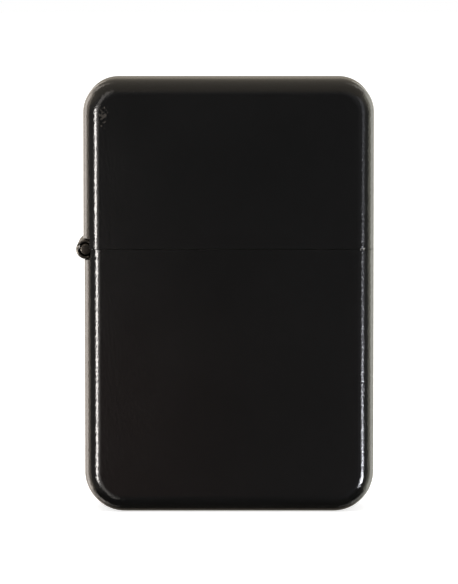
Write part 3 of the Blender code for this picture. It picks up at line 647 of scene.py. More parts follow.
# Tempered spring strip and wire: grey with a faint straw tint
SPRING_STEEL = lined_metal("tempered_spring_steel", "#b7b3ab", "#86827c", 0.26, (0.2, 3, 0.2), patch_mm=3)
# Turned brass: warm yellow with fine rings
BRASS = lined_metal("turned_brass", "#d9b467", "#a87f38", 0.28, (4, 4, 0.09), patch_mm=3)

# %% [markdown]
# ## Flint, wick, cotton and felt
# Lighter flint is a dull cast alloy. The wick is braided cotton whose end has burnt black. Wadding is loose
# cotton fibre, and the pad over the filling opening is pressed grey felt. All four are matt: what tells
# them apart is the size of their grain and their colour. A single fibre is too thin to show, so the grain
# is that of small tufts.

# %% Soft and dull finishes
MATT = 0.9
FUZZ_STRENGTH, FUZZ_ROUGHNESS = 0.6, 0.65
SCORCH_LOW, SCORCH_HIGH, SCORCH_RAGGED = 47.4 * MM, 50.4 * MM, 2.2 * MM
RAGGED_MM, BROWN_AT = 0.9, 0.45


def fibrous(name, light, dark, fibre_mm, relief_mm, metallic=0.0, sheen=0.0):
    """A dull, fine-grained surface: its material, tree and shader, and the tone and place to build on."""
    material, tree, shader, place = new_finish(name)
    fuzz = add_node(tree, "TexNoise", {"Vector": place, "Scale": per_mm(fibre_mm), "Detail": 6,
                                       "Roughness": FUZZ_ROUGHNESS})
    spaced = add_node(tree, "MapRange", {"Value": fuzz.outputs[0], **TONE_RANGE})
    tone = add_node(tree, "Mix", {0: spaced.outputs[0], 6: linear(dark), 7: linear(light)}, data_type="RGBA")
    bump = add_node(tree, "Bump", {"Height": fuzz.outputs[0], "Strength": FUZZ_STRENGTH,
                                   "Distance": relief_mm * MM})
    tree.links.new(tone.outputs[2], shader.inputs["Base Color"])
    tree.links.new(bump.outputs[0], shader.inputs["Normal"])
    shader.inputs["Roughness"].default_value = MATT
    shader.inputs["Metallic"].default_value = metallic
    shader.inputs["Sheen Weight"].default_value = sheen
    print("finish:", name)
    return material, tree, shader, tone, place


def charred_wick():
    """Cotton braid, scorched brown and then black over its last few millimetres."""
    material, tree, shader, tone, place = fibrous("braided_cotton", "#e0d6bd", "#b8ab8d", 0.12, 0.05,
                                                  sheen=0.3)
    level = add_node(tree, "SeparateXYZ", {"Vector": place}).outputs["Z"]
    ragged = add_node(tree, "TexNoise", {"Vector": place, "Scale": per_mm(RAGGED_MM), "Detail": 3})
    edge = add_node(tree, "Math", {0: ragged.outputs[0], 1: SCORCH_RAGGED, 2: level},
                    operation="MULTIPLY_ADD")
    burnt = add_node(tree, "MapRange", {"Value": edge.outputs[0], "From Min": SCORCH_LOW,
                                        "From Max": SCORCH_HIGH})
    scorch = add_node(tree, "ValToRGB", {"Fac": burnt.outputs[0]})
    scorch.color_ramp.elements[0].color = (1, 1, 1, 1)
    scorch.color_ramp.elements[1].color = linear("#1c1714")
    brown = scorch.color_ramp.elements.new(BROWN_AT)
    brown.color = linear("#7a6144")
    stained = add_node(tree, "Mix", {0: 1.0, 6: tone.outputs[2], 7: scorch.outputs["Color"]},
                       data_type="RGBA", blend_type="MULTIPLY")
    tree.links.new(stained.outputs[2], shader.inputs["Base Color"])
    return material


WICK_COTTON = charred_wick()
COTTON = fibrous("loose_cotton", "#efebe0", "#d4cdbd", 0.35, 0.12, sheen=0.4)[0]
FELT = fibrous("pressed_felt", "#a09b93", "#6f6b65", 0.2, 0.08, sheen=0.3)[0]
FLINT_ALLOY = fibrous("flint_alloy", "#5d5955", "#3a3735", 0.15, 0.02, metallic=0.4)[0]

# %% [markdown]
# ## The two shells
# Both are deep-drawn from sheet: a box with wide corners seen from the front, and a rounded edge all the
# way round each broad face. By hand that is a cube with two bevels, opened at the seam and given its sheet
# thickness. The lid's rim is eased more than the lower one. Its rounding faces down, away from the light,
# and draws the dark seam.

# %% The two shells
CASE_HALF = 19.05 * MM
CASE_HALF_DEPTH = 6.35 * MM
CASE_TOP = 57.15 * MM
SHEET = 0.7 * MM
SEAM_HALF_GAP = 0.015 * MM
LID_OVERHANG = 0.15 * MM
BASE_CORNER_R = 5.3 * MM
LID_CORNER_R = 4.5 * MM
EDGE_R = 2.2 * MM
CORNER_SEGMENTS, EDGE_SEGMENTS, RIM_SEGMENTS = 20, 12, 3
CASE_RIM_EASE = 0.015 * MM
LID_RIM_EASE = 0.08 * MM
HINGE_X = -18.85 * MM
NOTCH_R = 1.42 * MM
NOTCH_EASE = 0.06 * MM
NOTCH_HALF = 5.85 * MM


def bevel(width, segments):
    """Rounds the selected edges."""
    bpy.ops.mesh.bevel(offset=width, segments=segments, profile=0.5, affect="EDGES")


def drawn_box(name, left, right, half_depth, closed_z, open_z, corner_r, edge_r, sheet, ease, finishes):
    """A deep-drawn box that is open at one end."""
    way = 1 if open_z > closed_z else -1
    spare_z = open_z + way * corner_r
    low_z, high_z = sorted((closed_z, spare_z))
    piece = block(name, (left, -half_depth, low_z), (right, half_depth, high_z))
    for finish in finishes:
        piece.data.materials.append(finish)
    edit(piece)
    pick("EDGE", lambda e: lies_on(e, 2, closed_z) and (lies_on(e, 0, left) or lies_on(e, 0, right)))
    bevel(corner_r, CORNER_SEGMENTS)
    pick("EDGE", lambda e: not lies_on(e, 2, spare_z)
         and (lies_on(e, 1, -half_depth) or lies_on(e, 1, half_depth)))
    bevel(edge_r, EDGE_SEGMENTS)
    bpy.ops.mesh.select_all(action="SELECT")
    bpy.ops.mesh.bisect(plane_co=(0, 0, open_z), plane_no=(0, 0, way), clear_outer=True)
    leave()
    apply_modifier(piece, "SOLIDIFY", thickness=sheet, offset=-1, use_even_offset=True,
                   material_offset=len(finishes) - 1)
    edit(piece)
    pick("EDGE", lambda e: lies_on(e, 2, open_z) and not all(lies_on(f, 2, open_z) for f in e.link_faces))
    bevel(ease, RIM_SEGMENTS)
    leave()
    return piece


case_shell = drawn_box("case_shell", -CASE_HALF, CASE_HALF, CASE_HALF_DEPTH, 0, SEAM_Z - SEAM_HALF_GAP,
                       BASE_CORNER_R, EDGE_R, SHEET, CASE_RIM_EASE, (ENAMEL, INNER_PLATE))
lid_shell = drawn_box("lid_shell", -CASE_HALF - LID_OVERHANG, CASE_HALF, CASE_HALF_DEPTH, CASE_TOP,
                      SEAM_Z + SEAM_HALF_GAP, LID_CORNER_R, EDGE_R, SHEET, LID_RIM_EASE,
                      (ENAMEL, INNER_PLATE))
for shell in (case_shell, lid_shell):
    combine(shell, cross_rod("hinge_notch", HINGE_X, SEAM_Z, NOTCH_R, NOTCH_HALF))
    soften(shell, NOTCH_EASE)
put_on_frame(case_shell, "case_bottom", "case", "enamel")
put_on_frame(lid_shell, "case_lid", "lid", "enamel")

# %% [markdown]
# ## The hinge leaves
# Each leaf is a strip of sheet whose end is rolled round the pin. Spinning the top edge of a flat strip
# about the pin rolls it the same way, and leaves the little gap where the strip comes back to itself. Half
# a leaf is modelled and mirrored, and the sheet thickness comes last. The lid's leaf also carries the heel
# that the cam pushes on.

# %% Hinge leaves
PIN_R = 0.8 * MM
PIN_HALF = 5.6 * MM
LEAF_SHEET = 0.4 * MM
KNUCKLE_R = 1.28 * MM
ROLL_R = KNUCKLE_R - LEAF_SHEET / 2
ROLL_TURN = math.radians(300)
ROLL_STEPS = 30
LEAF_X = -18.05 * MM
LEAF_HALF = 4.1 * MM
NECK_RUN = 0.9 * MM
STRIP_EASE = 0.17 * MM


def rolled_leaf(name, far_z, near_z, knuckle):
    """A hinge leaf from its far end to its knuckle, which spans two distances from the middle."""
    inner, outer = knuckle
    way = 1 if near_z > far_z else -1
    size = (abs(near_z - far_z), LEAF_HALF, 1)
    leaf = start_piece(name, bpy.ops.mesh.primitive_plane_add, size=1, scale=size,
                       location=(LEAF_X, LEAF_HALF / 2, (near_z + far_z) / 2), rotation=(0, math.pi / 2, 0))
    edit(leaf)
    neck = min(outer, LEAF_HALF)
    for cut in (inner, neck):
        if 0 < cut < LEAF_HALF:
            bpy.ops.mesh.select_all(action="SELECT")
            bpy.ops.mesh.bisect(plane_co=(0, cut, 0), plane_no=(0, 1, 0))
    pick("EDGE", lambda e: lies_on(e, 2, near_z)
         and all(inner - TOUCH < v.co.y < neck + TOUCH for v in e.verts))
    roll_x = HINGE_X + ROLL_R
    extrude(roll_x - LEAF_X, 0, way * NECK_RUN)
    extrude(0, 0, SEAM_Z - near_z - way * NECK_RUN)
    if outer > neck:
        pick("VERT", lambda v: lies_on(v, 2, SEAM_Z) and lies_on(v, 1, neck))
        bpy.ops.mesh.extrude_vertices_move(TRANSFORM_OT_translate={"value": (0, outer - neck, 0)})
    pick("EDGE", lambda e: lies_on(e, 2, SEAM_Z) and lies_on(e, 0, roll_x))
    bpy.ops.mesh.spin(steps=ROLL_STEPS, angle=way * ROLL_TURN, center=(HINGE_X, 0, SEAM_Z), axis=(0, 1, 0))
    merge_points()
    leave()
    mirror_sheet(leaf, LEAF_SHEET)
    return leaf


LOWER_FAR, LOWER_NEAR = 26.5 * MM, 31.6 * MM
UPPER_FAR, UPPER_NEAR = 44.1 * MM, 36.6 * MM
MIDDLE_HALF = 2.1 * MM
END_START = 2.25 * MM
lower_leaf = rolled_leaf("rolled_leaf_lower", LOWER_FAR, LOWER_NEAR, (END_START, PIN_HALF))
upper_leaf = rolled_leaf("rolled_leaf_upper", UPPER_FAR, UPPER_NEAR, (0, MIDDLE_HALF))

HEEL_ANGLE = math.radians(-55)
HEEL_INNER, HEEL_REACH = 0.9 * MM, 2.2 * MM
HEEL_SIZE = (HEEL_REACH - HEEL_INNER, 3.9 * MM, 0.5 * MM)
heel_middle = (HEEL_INNER + HEEL_REACH) / 2
heel = start_piece(
    "heel", bpy.ops.mesh.primitive_cube_add, size=1, scale=HEEL_SIZE, rotation=(0, -HEEL_ANGLE, 0),
    location=(HINGE_X + heel_middle * math.cos(HEEL_ANGLE), 0, SEAM_Z + heel_middle * math.sin(HEEL_ANGLE)),
)
combine(upper_leaf, heel, "UNION")
for leaf in (lower_leaf, upper_leaf):
    soften(leaf, STRIP_EASE)
put_on_frame(lower_leaf, "hinge_leaf_lower", "case", "hinge_steel", HINGE_BLACK)
put_on_frame(upper_leaf, "hinge_leaf_upper", "lid", "hinge_steel", HINGE_BLACK)

# %% [markdown]
# ## Pins and rivets
# Pins, rivets, the flint tube, its plunger, the flint and the screw are all round. Each is a half outline
# spun once round its axis. The outline starts as a circle of as many points as it needs, and the points are
# moved into place.


# %% Pins and rivets
def turned(name, profile, x, z=None):
    """Spins a (radius, distance along) outline about an upright axis, or about a cross axis at a height."""
    piece = start_piece(name, bpy.ops.mesh.primitive_circle_add, vertices=len(profile), radius=MM)
    edit(piece)
    if z is None:
        axis = (0, 0, 1)
        move_points(piece, [(x + radius, 0, along) for radius, along in profile])
    else:
        axis = (0, 1, 0)
        move_points(piece, [(x + radius, along, z) for radius, along in profile])
    pick("EDGE", lambda e: lies_on(e, 0, x))
    bpy.ops.mesh.delete(type="EDGE")
    bpy.ops.mesh.select_all(action="SELECT")
    bpy.ops.mesh.spin(steps=ROUND, angle=2 * math.pi, center=(x, 0, z or 0), axis=axis)
    merge_points()
    turn_faces_out()
    leave()
    return piece


def dome(radius, base, height, steps=6):
    """The outline of a rounded head, from its tip out to its rim."""
    turns = [math.pi / 2 * i / steps for i in range(steps + 1)]
    return [(radius * math.sin(t), base + height * math.cos(t)) for t in turns]


def mirrored(profile):
    """An outline and its mirror image, from one end of a pin to the other."""
    return profile + [(radius, -along) for radius, along in reversed(profile)]


PIN_ROUND = 0.22 * MM
pin_end = [(0, PIN_HALF)]
for radius, along in dome(PIN_ROUND, PIN_HALF - PIN_ROUND, PIN_ROUND):
    pin_end.append((PIN_R - PIN_ROUND + radius, along))
hinge_pin = turned("capped_hinge_pin", mirrored(pin_end), HINGE_X, SEAM_Z)
put_on_frame(hinge_pin, "hinge_pin", "case", "hinge_steel", HINGE_BLACK)

WHEEL_X, WHEEL_Z = 10.5 * MM, 42.1 * MM
CAM_X, CAM_Z = -13.0 * MM, 39.4 * MM
HEAD_RISE, HEAD_RIM = 0.5 * MM, 0.1 * MM
# Node, place, radius of the shank and of the head, and distance from the middle to under the head
RIVETS = (
    ("wheel_rivet", WHEEL_X, WHEEL_Z, 0.8 * MM, 1.3 * MM, 3.3 * MM),
    ("cam_rivet", CAM_X, CAM_Z, 0.6 * MM, 1.0 * MM, 2.3 * MM),
)
for node, x, z, shank_r, head_r, under in RIVETS:
    head = dome(head_r, under + HEAD_RIM, HEAD_RISE - HEAD_RIM) + [(head_r, under), (shank_r, under)]
    put_on_frame(turned(f"domed_{node}", mirrored(head), x, z), node, "insert", "pin_steel", PIN_STEEL)

# %% [markdown]
# ## The flint column
# A brass tube holds the flint under the wheel. A spring with a brass plunger pushes it up, and a slotted
# screw closes the tube from below. The screw's thread is turned as plain ridges, which look the same at
# this size.

# %% Flint column
LIP = 0.15 * MM
TUBE_R, TUBE_BORE_R = 1.8 * MM, 1.4 * MM
TUBE_LOW, TUBE_TOP = 2.7 * MM, 36.9 * MM
tube = [
    (TUBE_R, TUBE_LOW), (TUBE_R, TUBE_TOP - LIP), (TUBE_R - LIP, TUBE_TOP), (TUBE_BORE_R + LIP, TUBE_TOP),
    (TUBE_BORE_R, TUBE_TOP - LIP), (TUBE_BORE_R, TUBE_LOW),
]
put_on_frame(turned("turned_flint_tube", tube, WHEEL_X), "flint_tube", "insert", "brass", BRASS)

FLINT_R, FLINT_EASE = 1.25 * MM, 0.25 * MM
FLINT_LOW, FLINT_TOP = 33.1 * MM, 38.1 * MM
stone = [
    (0, FLINT_TOP), (FLINT_R - FLINT_EASE, FLINT_TOP),
    (FLINT_R - FLINT_EASE / 3, FLINT_TOP - FLINT_EASE / 3), (FLINT_R, FLINT_TOP - FLINT_EASE),
    (FLINT_R, FLINT_LOW + FLINT_EASE), (FLINT_R - FLINT_EASE, FLINT_LOW), (0, FLINT_LOW),
]
put_on_frame(turned("cast_flint", stone, WHEEL_X), "flint", "flint_stack", "flint_alloy", FLINT_ALLOY)

TIP_LOW, TIP_SHOULDER, TIP_TOP = 31.1 * MM, 32.1 * MM, 32.9 * MM
TIP_R, TIP_STUB_R = 1.2 * MM, 0.65 * MM
plunger = [
    (0, TIP_TOP), (TIP_R - LIP, TIP_TOP), (TIP_R, TIP_TOP - LIP), (TIP_R, TIP_SHOULDER),
    (TIP_STUB_R, TIP_SHOULDER), (TIP_STUB_R, TIP_LOW + LIP), (TIP_STUB_R - LIP, TIP_LOW), (0, TIP_LOW),
]
put_on_frame(turned("turned_plunger", plunger, WHEEL_X), "flint_spring_tip", "flint_stack", "brass", BRASS)

SCREW_LOW, SCREW_HEAD_TOP, SCREW_TOP = 1.3 * MM, 2.3 * MM, 9.9 * MM
SCREW_HEAD_R, SCREW_SHANK_R = 2.2 * MM, 1.2 * MM
THREAD_PITCH, THREAD_DEPTH, THREAD_TURNS = 0.5 * MM, 0.16 * MM, 12
SLOT_REACH, SLOT_HALF, SLOT_DEPTH = 3 * MM, 0.3 * MM, 0.5 * MM
core_r = SCREW_SHANK_R - THREAD_DEPTH
post = [(0, SCREW_TOP), (core_r, SCREW_TOP)]
for turn in range(THREAD_TURNS):
    crest = SCREW_TOP - (turn + 0.5) * THREAD_PITCH
    post += [(SCREW_SHANK_R, crest), (core_r, crest - THREAD_PITCH / 2)]
post += [
    (core_r, SCREW_HEAD_TOP), (SCREW_HEAD_R - LIP, SCREW_HEAD_TOP), (SCREW_HEAD_R, SCREW_HEAD_TOP - LIP),
    (SCREW_HEAD_R, SCREW_LOW + LIP), (SCREW_HEAD_R - LIP, SCREW_LOW), (0, SCREW_LOW),
]
screw = turned("slotted_screw", post, WHEEL_X)
slot = block("slot", (WHEEL_X - SLOT_REACH, -SLOT_HALF, 0),
             (WHEEL_X + SLOT_REACH, SLOT_HALF, SCREW_LOW + SLOT_DEPTH))
combine(screw, slot)
put_on_frame(screw, "flint_screw", "screw", "brass", BRASS)

# %% [markdown]
# ## The flint spring
# Wire is drawn as a curve with a round bevel: the coil's points come from a loop, and the curve is then
# made a mesh.


# %% Flint spring
def along_points(name, lines, radius, sides):
    """A wire or strand along each line of points, made a mesh."""
    curve = bpy.data.curves.new(name, "CURVE")
    curve.dimensions = "3D"
    curve.bevel_depth = radius
    curve.bevel_resolution = sides // 2 - 2
    curve.use_fill_caps = True
    for line in lines:
        spline = curve.splines.new("POLY")
        spline.points.add(len(line) - 1)
        for point, place in zip(spline.points, line):
            point.co = (*place, 1)
    piece = bpy.data.objects.new(name, curve)
    bpy.context.scene.collection.objects.link(piece)
    only(piece)
    bpy.ops.object.convert(target="MESH")
    piece = bpy.context.object
    edit(piece)
    merge_points()
    turn_faces_out()
    leave()
    return piece


COIL_R, COIL_WIRE_R, COIL_SIDES = 1.05 * MM, 0.2 * MM, 10
COIL_TURNS, COIL_POINTS = 19, 24
COIL_LOW, COIL_TOP = 10.4 * MM, 31.7 * MM
coil = []
for i in range(COIL_TURNS * COIL_POINTS + 1):
    angle = 2 * math.pi * i / COIL_POINTS
    climb = (COIL_TOP - COIL_LOW - 2 * COIL_WIRE_R) * i / (COIL_TURNS * COIL_POINTS)
    height = COIL_LOW + COIL_WIRE_R + climb
    coil.append((WHEEL_X + COIL_R * math.cos(angle), COIL_R * math.sin(angle), height))
spring = along_points("wound_flint_spring", [coil], COIL_WIRE_R, COIL_SIDES)
put_on_frame(spring, "flint_spring", "insert", "spring_steel", SPRING_STEEL)
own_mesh(spring)

# %% [markdown]
# ## The insert's tank
# The tank is drawn like the shells, from thinner stainless sheet. It is open below for filling and has a
# slot at the hinge side where the lid's heel comes in.

# %% Tank
TANK_LEFT, TANK_RIGHT, TANK_HALF_DEPTH = -17.2 * MM, 18.05 * MM, 5.5 * MM
TANK_LOW, TANK_TOP, TANK_SHEET = 1.0 * MM, 35.7 * MM, 0.4 * MM
TANK_CORNER_R, TANK_EDGE_R, TANK_RIM_EASE = 4.6 * MM, 1.6 * MM, 0.1 * MM
FILL_LEFT, FILL_RIGHT, FILL_HALF = -12.5 * MM, 13.8 * MM, 4.2 * MM
HEEL_ROOM = 2.6 * MM
HEEL_SLOT_Z = SEAM_Z - 2.9 * MM
tank = drawn_box("drawn_tank", TANK_LEFT, TANK_RIGHT, TANK_HALF_DEPTH, TANK_LOW, TANK_TOP, TANK_CORNER_R,
                 TANK_EDGE_R, TANK_SHEET, TANK_RIM_EASE, (STAINLESS,))
fill_mouth = block("fill_mouth", (FILL_LEFT, -FILL_HALF, 0),
                   (FILL_RIGHT, FILL_HALF, TANK_LOW + 2 * TANK_SHEET))
combine(tank, fill_mouth)
heel_slot = block("heel_slot", (TANK_LEFT - MM, -HEEL_ROOM, HEEL_SLOT_Z),
                  (TANK_LEFT + MM, HEEL_ROOM, TANK_TOP + MM))
combine(tank, heel_slot)
put_on_frame(tank, "insert_tank", "insert", "insert_steel", STAINLESS)

# %% [markdown]
# ## Flat pieces with an outline
# The chimney's side view, the cam and the wheel are outlines given a thickness. As with turning, a filled
# circle of enough points is the start, its points are moved to the outline, and the face is extruded
# across.


# %% Outlines
def arc(x, z, radius, start, end, steps):
    """Points along an arc in the side view, angles in degrees."""
    turns = [math.radians(start + (end - start) * i / steps) for i in range(steps + 1)]
    return [(x + radius * math.cos(t), z + radius * math.sin(t)) for t in turns]


def outline_plate(name, points, low_y, high_y, slices=1, twist=0.0, pivot=(0, 0)):
    """A side outline of (x, z) points, extruded across the depth, turned about a pivot at each slice."""
    piece = start_piece(name, bpy.ops.mesh.primitive_circle_add, vertices=len(points), radius=MM,
                        fill_type="NGON")
    edit(piece)
    move_points(piece, [(x, low_y, z) for x, z in points])
    bpy.ops.mesh.select_all(action="SELECT")
    for _ in range(slices):
        extrude(0, (high_y - low_y) / slices, 0)
        if twist:
            bpy.ops.transform.rotate(value=twist, orient_axis="Y", center_override=(pivot[0], 0, pivot[1]))
    turn_faces_out()
    leave()
    return piece


# %% [markdown]
# ## The chimney
# A strip of stainless sheet is folded round the wick. It narrows to two ears that hold the wheel, and rows
# of air holes are punched through both sides. Half of the folded strip is drawn in plan and mirrored, given
# its thickness, trimmed to its side outline, punched, and deburred.

# %% Folded strip
CHIMNEY_LOW, CHIMNEY_TOP, CHIMNEY_LEFT = 35.65 * MM, 51.7 * MM, -10.3 * MM
CHIMNEY_SHEET, CHIMNEY_CORNER_R, FOLD_STEPS = 0.4 * MM, 2.5 * MM, 10
CHIMNEY_MID, EAR_MID = 4.6 * MM, 3.0 * MM
SHOULDER_X, EAR_START_X, EAR_R = 4.6 * MM, 7.0 * MM, 2.7 * MM

wall_left = CHIMNEY_LEFT + CHIMNEY_SHEET / 2
turn_x = wall_left + CHIMNEY_CORNER_R
chimney = start_piece(
    "folded_chimney", bpy.ops.mesh.primitive_plane_add, size=1, rotation=ACROSS,
    location=((turn_x + SHOULDER_X) / 2, -CHIMNEY_MID, (CHIMNEY_LOW + CHIMNEY_TOP) / 2),
    scale=(SHOULDER_X - turn_x, CHIMNEY_TOP - CHIMNEY_LOW, 1),
)
edit(chimney)
pick("EDGE", lambda e: lies_on(e, 0, turn_x))
fold_middle = (turn_x, CHIMNEY_CORNER_R - CHIMNEY_MID, 0)
bpy.ops.mesh.spin(steps=FOLD_STEPS, angle=math.pi / 2, center=fold_middle, axis=(0, 0, 1))
pick("EDGE", lambda e: lies_on(e, 0, wall_left))
extrude(0, CHIMNEY_MID - CHIMNEY_CORNER_R, 0)
pick("EDGE", lambda e: lies_on(e, 0, SHOULDER_X))
extrude(EAR_START_X - SHOULDER_X, CHIMNEY_MID - EAR_MID, 0)
extrude(WHEEL_X + EAR_R + MM - EAR_START_X, 0, 0)
merge_points()
leave()
mirror_sheet(chimney, CHIMNEY_SHEET)
print(chimney.name, "is", len(chimney.data.polygons), "faces before it is trimmed")

# %% [markdown]
# ## Trimming and punching
# The side outline runs level over the wick, falls in one smooth curve to the ears, and goes round the
# rivet. What lies outside it is cut away, and the holes go through both walls at once.

# %% Trimmed and punched
TRIM_SPARE = 0.3 * MM
SLOPE_STEPS, EAR_STEPS = 16, 24
EAR_FROM, EAR_TO = 125, -20
HOLE_R, HOLE_STEP_X, HOLE_STEP_Z = 0.95 * MM, 4.0 * MM, 3.6 * MM
HOLES_X, HOLES_Z = -1.6 * MM, 44.8 * MM
WHEEL_BORE_R = 0.95 * MM
CHIMNEY_EASE = 0.08 * MM

ear = arc(WHEEL_X, WHEEL_Z, EAR_R, EAR_FROM, EAR_TO, EAR_STEPS)
top_z = CHIMNEY_TOP + TRIM_SPARE
first, last = Vector((SHOULDER_X, top_z)), Vector(ear[0])
bend = Vector((EAR_START_X, ear[0][1] + MM))
side = [(CHIMNEY_LEFT - MM, CHIMNEY_LOW - MM), (CHIMNEY_LEFT - MM, top_z)]
for i in range(SLOPE_STEPS):
    t = i / SLOPE_STEPS
    side.append(tuple(first * (1 - t) ** 2 + bend * 2 * t * (1 - t) + last * t ** 2))
side += ear + [(ear[-1][0], CHIMNEY_LOW - MM)]
combine(chimney, outline_plate("side_view", side, -CASE_HALF_DEPTH, CASE_HALF_DEPTH), "INTERSECT")
for row in (-1, 0, 1):
    for step in ((-1, 0, 1) if row else (-0.5, 0.5)):
        hole = (HOLES_X + step * HOLE_STEP_X, HOLES_Z + row * HOLE_STEP_Z)
        combine(chimney, cross_rod("air_hole", *hole, HOLE_R, CASE_HALF_DEPTH))
combine(chimney, cross_rod("rivet_hole", WHEEL_X, WHEEL_Z, WHEEL_BORE_R, CASE_HALF_DEPTH))
soften(chimney, CHIMNEY_EASE)
put_on_frame(chimney, "chimney", "insert", "insert_steel", STAINLESS)

# %% [markdown]
# ## The striker wheel
# A hard steel wheel with slanting saw teeth that scrape the flint. The tooth outline is extruded in thin
# slices with a small turn at each, which slants the teeth, and both sides are turned down to a raised rim
# and a hub.

# %% Wheel
WHEEL_R, WHEEL_HALF, WHEEL_SLICES = 3.8 * MM, 2.4 * MM, 8
TEETH, TOOTH_DEPTH, TOOTH_ROOT = 40, 0.3 * MM, 0.75
RECESS_IN, RECESS_OUT, RECESS = 1.7 * MM, 3.0 * MM, 0.35 * MM
rim = []
for i in range(TEETH):
    for share, radius in ((0, WHEEL_R), (TOOTH_ROOT, WHEEL_R - TOOTH_DEPTH)):
        angle = 2 * math.pi * (i + share) / TEETH
        rim.append((WHEEL_X + radius * math.cos(angle), WHEEL_Z + radius * math.sin(angle)))
wheel = outline_plate("saw_tooth_wheel", rim, -WHEEL_HALF, WHEEL_HALF, WHEEL_SLICES,
                      2 * math.pi / TEETH / WHEEL_SLICES, (WHEEL_X, WHEEL_Z))
combine(wheel, cross_rod("bore", WHEEL_X, WHEEL_Z, WHEEL_BORE_R, CASE_HALF_DEPTH))
for end in (-1, 1):
    deep, clear = end * (WHEEL_HALF - RECESS), end * (WHEEL_HALF + RECESS)
    ring = [(RECESS_IN, deep), (RECESS_OUT - LIP, deep), (RECESS_OUT, clear), (RECESS_IN - LIP, clear)]
    combine(wheel, turned("recess", ring, WHEEL_X, WHEEL_Z))
put_on_frame(wheel, "striker_wheel", "wheel", "wheel_steel", WHEEL_STEEL)

# %% [markdown]
# ## The cam
# The cam is a thick lever that rocks on a rivet and works on the lid's heel. Its outline runs round its
# boss and its nose on their common tangents.

# %% Cam
CAM_BOSS_R, CAM_HALF, CAM_BORE_R = 1.5 * MM, 1.5 * MM, 0.75 * MM
NOSE_X, NOSE_Z, NOSE_R = -15.85 * MM, 34.8 * MM, 0.4 * MM
BOSS_STEPS, NOSE_STEPS = 30, 10
CAM_EASE, CAM_EASE_SEGMENTS, CAM_EASE_ABOVE = 0.12 * MM, 3, 50
run, drop = NOSE_X - CAM_X, NOSE_Z - CAM_Z
along = math.degrees(math.atan2(drop, run))
splay = math.degrees(math.acos((CAM_BOSS_R - NOSE_R) / math.hypot(run, drop)))
outline = arc(CAM_X, CAM_Z, CAM_BOSS_R, along + splay, along + 360 - splay, BOSS_STEPS)
outline += arc(NOSE_X, NOSE_Z, NOSE_R, along - splay, along + splay, NOSE_STEPS)
cam = outline_plate("rocking_cam", outline, -CAM_HALF, CAM_HALF)
combine(cam, cross_rod("bore", CAM_X, CAM_Z, CAM_BORE_R, CASE_HALF_DEPTH))
soften(cam, CAM_EASE, CAM_EASE_SEGMENTS, CAM_EASE_ABOVE)
put_on_frame(cam, "cam_lever", "cam", "spring_steel", SPRING_STEEL)

# %% [markdown]
# ## The cam's spring
# A bent leaf of spring strip leans on the back of the cam. A flat strip is extruded along its bends, the
# bends are rounded, and the thickness comes last.

# %% Leaf spring
PLATE_TOP, POCKET_FLOOR, POCKET_ROOM = 35.5 * MM, 33.4 * MM, 0.3 * MM
LEAF_SPRING_X, LEAF_SPRING_HALF, LEAF_SPRING_SHEET = -12.1 * MM, 1.2 * MM, 0.25 * MM
LEAN, LEAN_RISE, TIP_RISE = 0.8 * MM, 1.3 * MM, 0.8 * MM
LEAF_BEND, LEAF_BEND_SEGMENTS, LEAF_BEND_ABOVE = 0.3 * MM, 4, math.radians(20)
LEAF_EASE = 0.05 * MM
foot_z = POCKET_FLOOR + POCKET_ROOM
leaf_spring = start_piece(
    "bent_leaf_spring", bpy.ops.mesh.primitive_plane_add, size=1, rotation=(0, math.pi / 2, 0),
    location=(LEAF_SPRING_X, 0, (foot_z + PLATE_TOP) / 2),
    scale=(PLATE_TOP - foot_z, 2 * LEAF_SPRING_HALF, 1),
)
edit(leaf_spring)
pick("EDGE", lambda e: lies_on(e, 2, PLATE_TOP))
extrude(-LEAN, 0, LEAN_RISE)
extrude(LEAN, 0, TIP_RISE)
leave()
apply_modifier(leaf_spring, "BEVEL", width=LEAF_BEND, segments=LEAF_BEND_SEGMENTS, limit_method="ANGLE",
               angle_limit=LEAF_BEND_ABOVE)
apply_modifier(leaf_spring, "SOLIDIFY", thickness=LEAF_SPRING_SHEET, offset=0, use_even_offset=True)
soften(leaf_spring, LEAF_EASE)
put_on_frame(leaf_spring, "cam_spring", "insert", "spring_steel", SPRING_STEEL)

# %% [markdown]
# ## The top plate
# The plate that closes the tank is pressed with the cam's pocket and its two lugs. Its solid already has
# every feature, so a copy of it is taken: its loose triangles are merged into whole faces and its edges are
# deburred.

# %% Top plate
FLAT_WITHIN = math.radians(1)
PLATE_EASE = 0.07 * MM
only(frame["nodes"]["insert_top_plate"])
bpy.ops.object.duplicate()
top_plate = bpy.context.object
top_plate.name = top_plate.data.name = "pressed_top_plate"
del top_plate["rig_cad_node"]
top_plate.data.materials.clear()
edit(top_plate)
bpy.ops.mesh.customdata_custom_splitnormals_clear()
merge_points()
bpy.ops.mesh.dissolve_limited(angle_limit=FLAT_WITHIN)
leave()
soften(top_plate, PLATE_EASE)
put_on_frame(top_plate, "insert_top_plate", "insert", "insert_steel", STAINLESS)

# %% [markdown]
# ## The wick's route
# The wick comes up through the cotton into the chimney. Below the top plate it lies in level runs between
# the pads and turns back at their ends, so its route is straight lines and arcs.

# %% Wick route
WICK_X, WICK_TOP, WICK_R = -1.5 * MM, 50.8 * MM, 1.4 * MM
PAD_STACK_TOP, PAD_THICK, PAD_SPACING = 32.6 * MM, 3.2 * MM, 6.6 * MM
FIRST_BEND_R, FIRST_BEND_STEPS, TURN_STEPS = 1.7 * MM, 10, 20
LEFT_TURN_X, RIGHT_TURN_X, WICK_END_X = -11.8 * MM, 3.5 * MM, 6.5 * MM
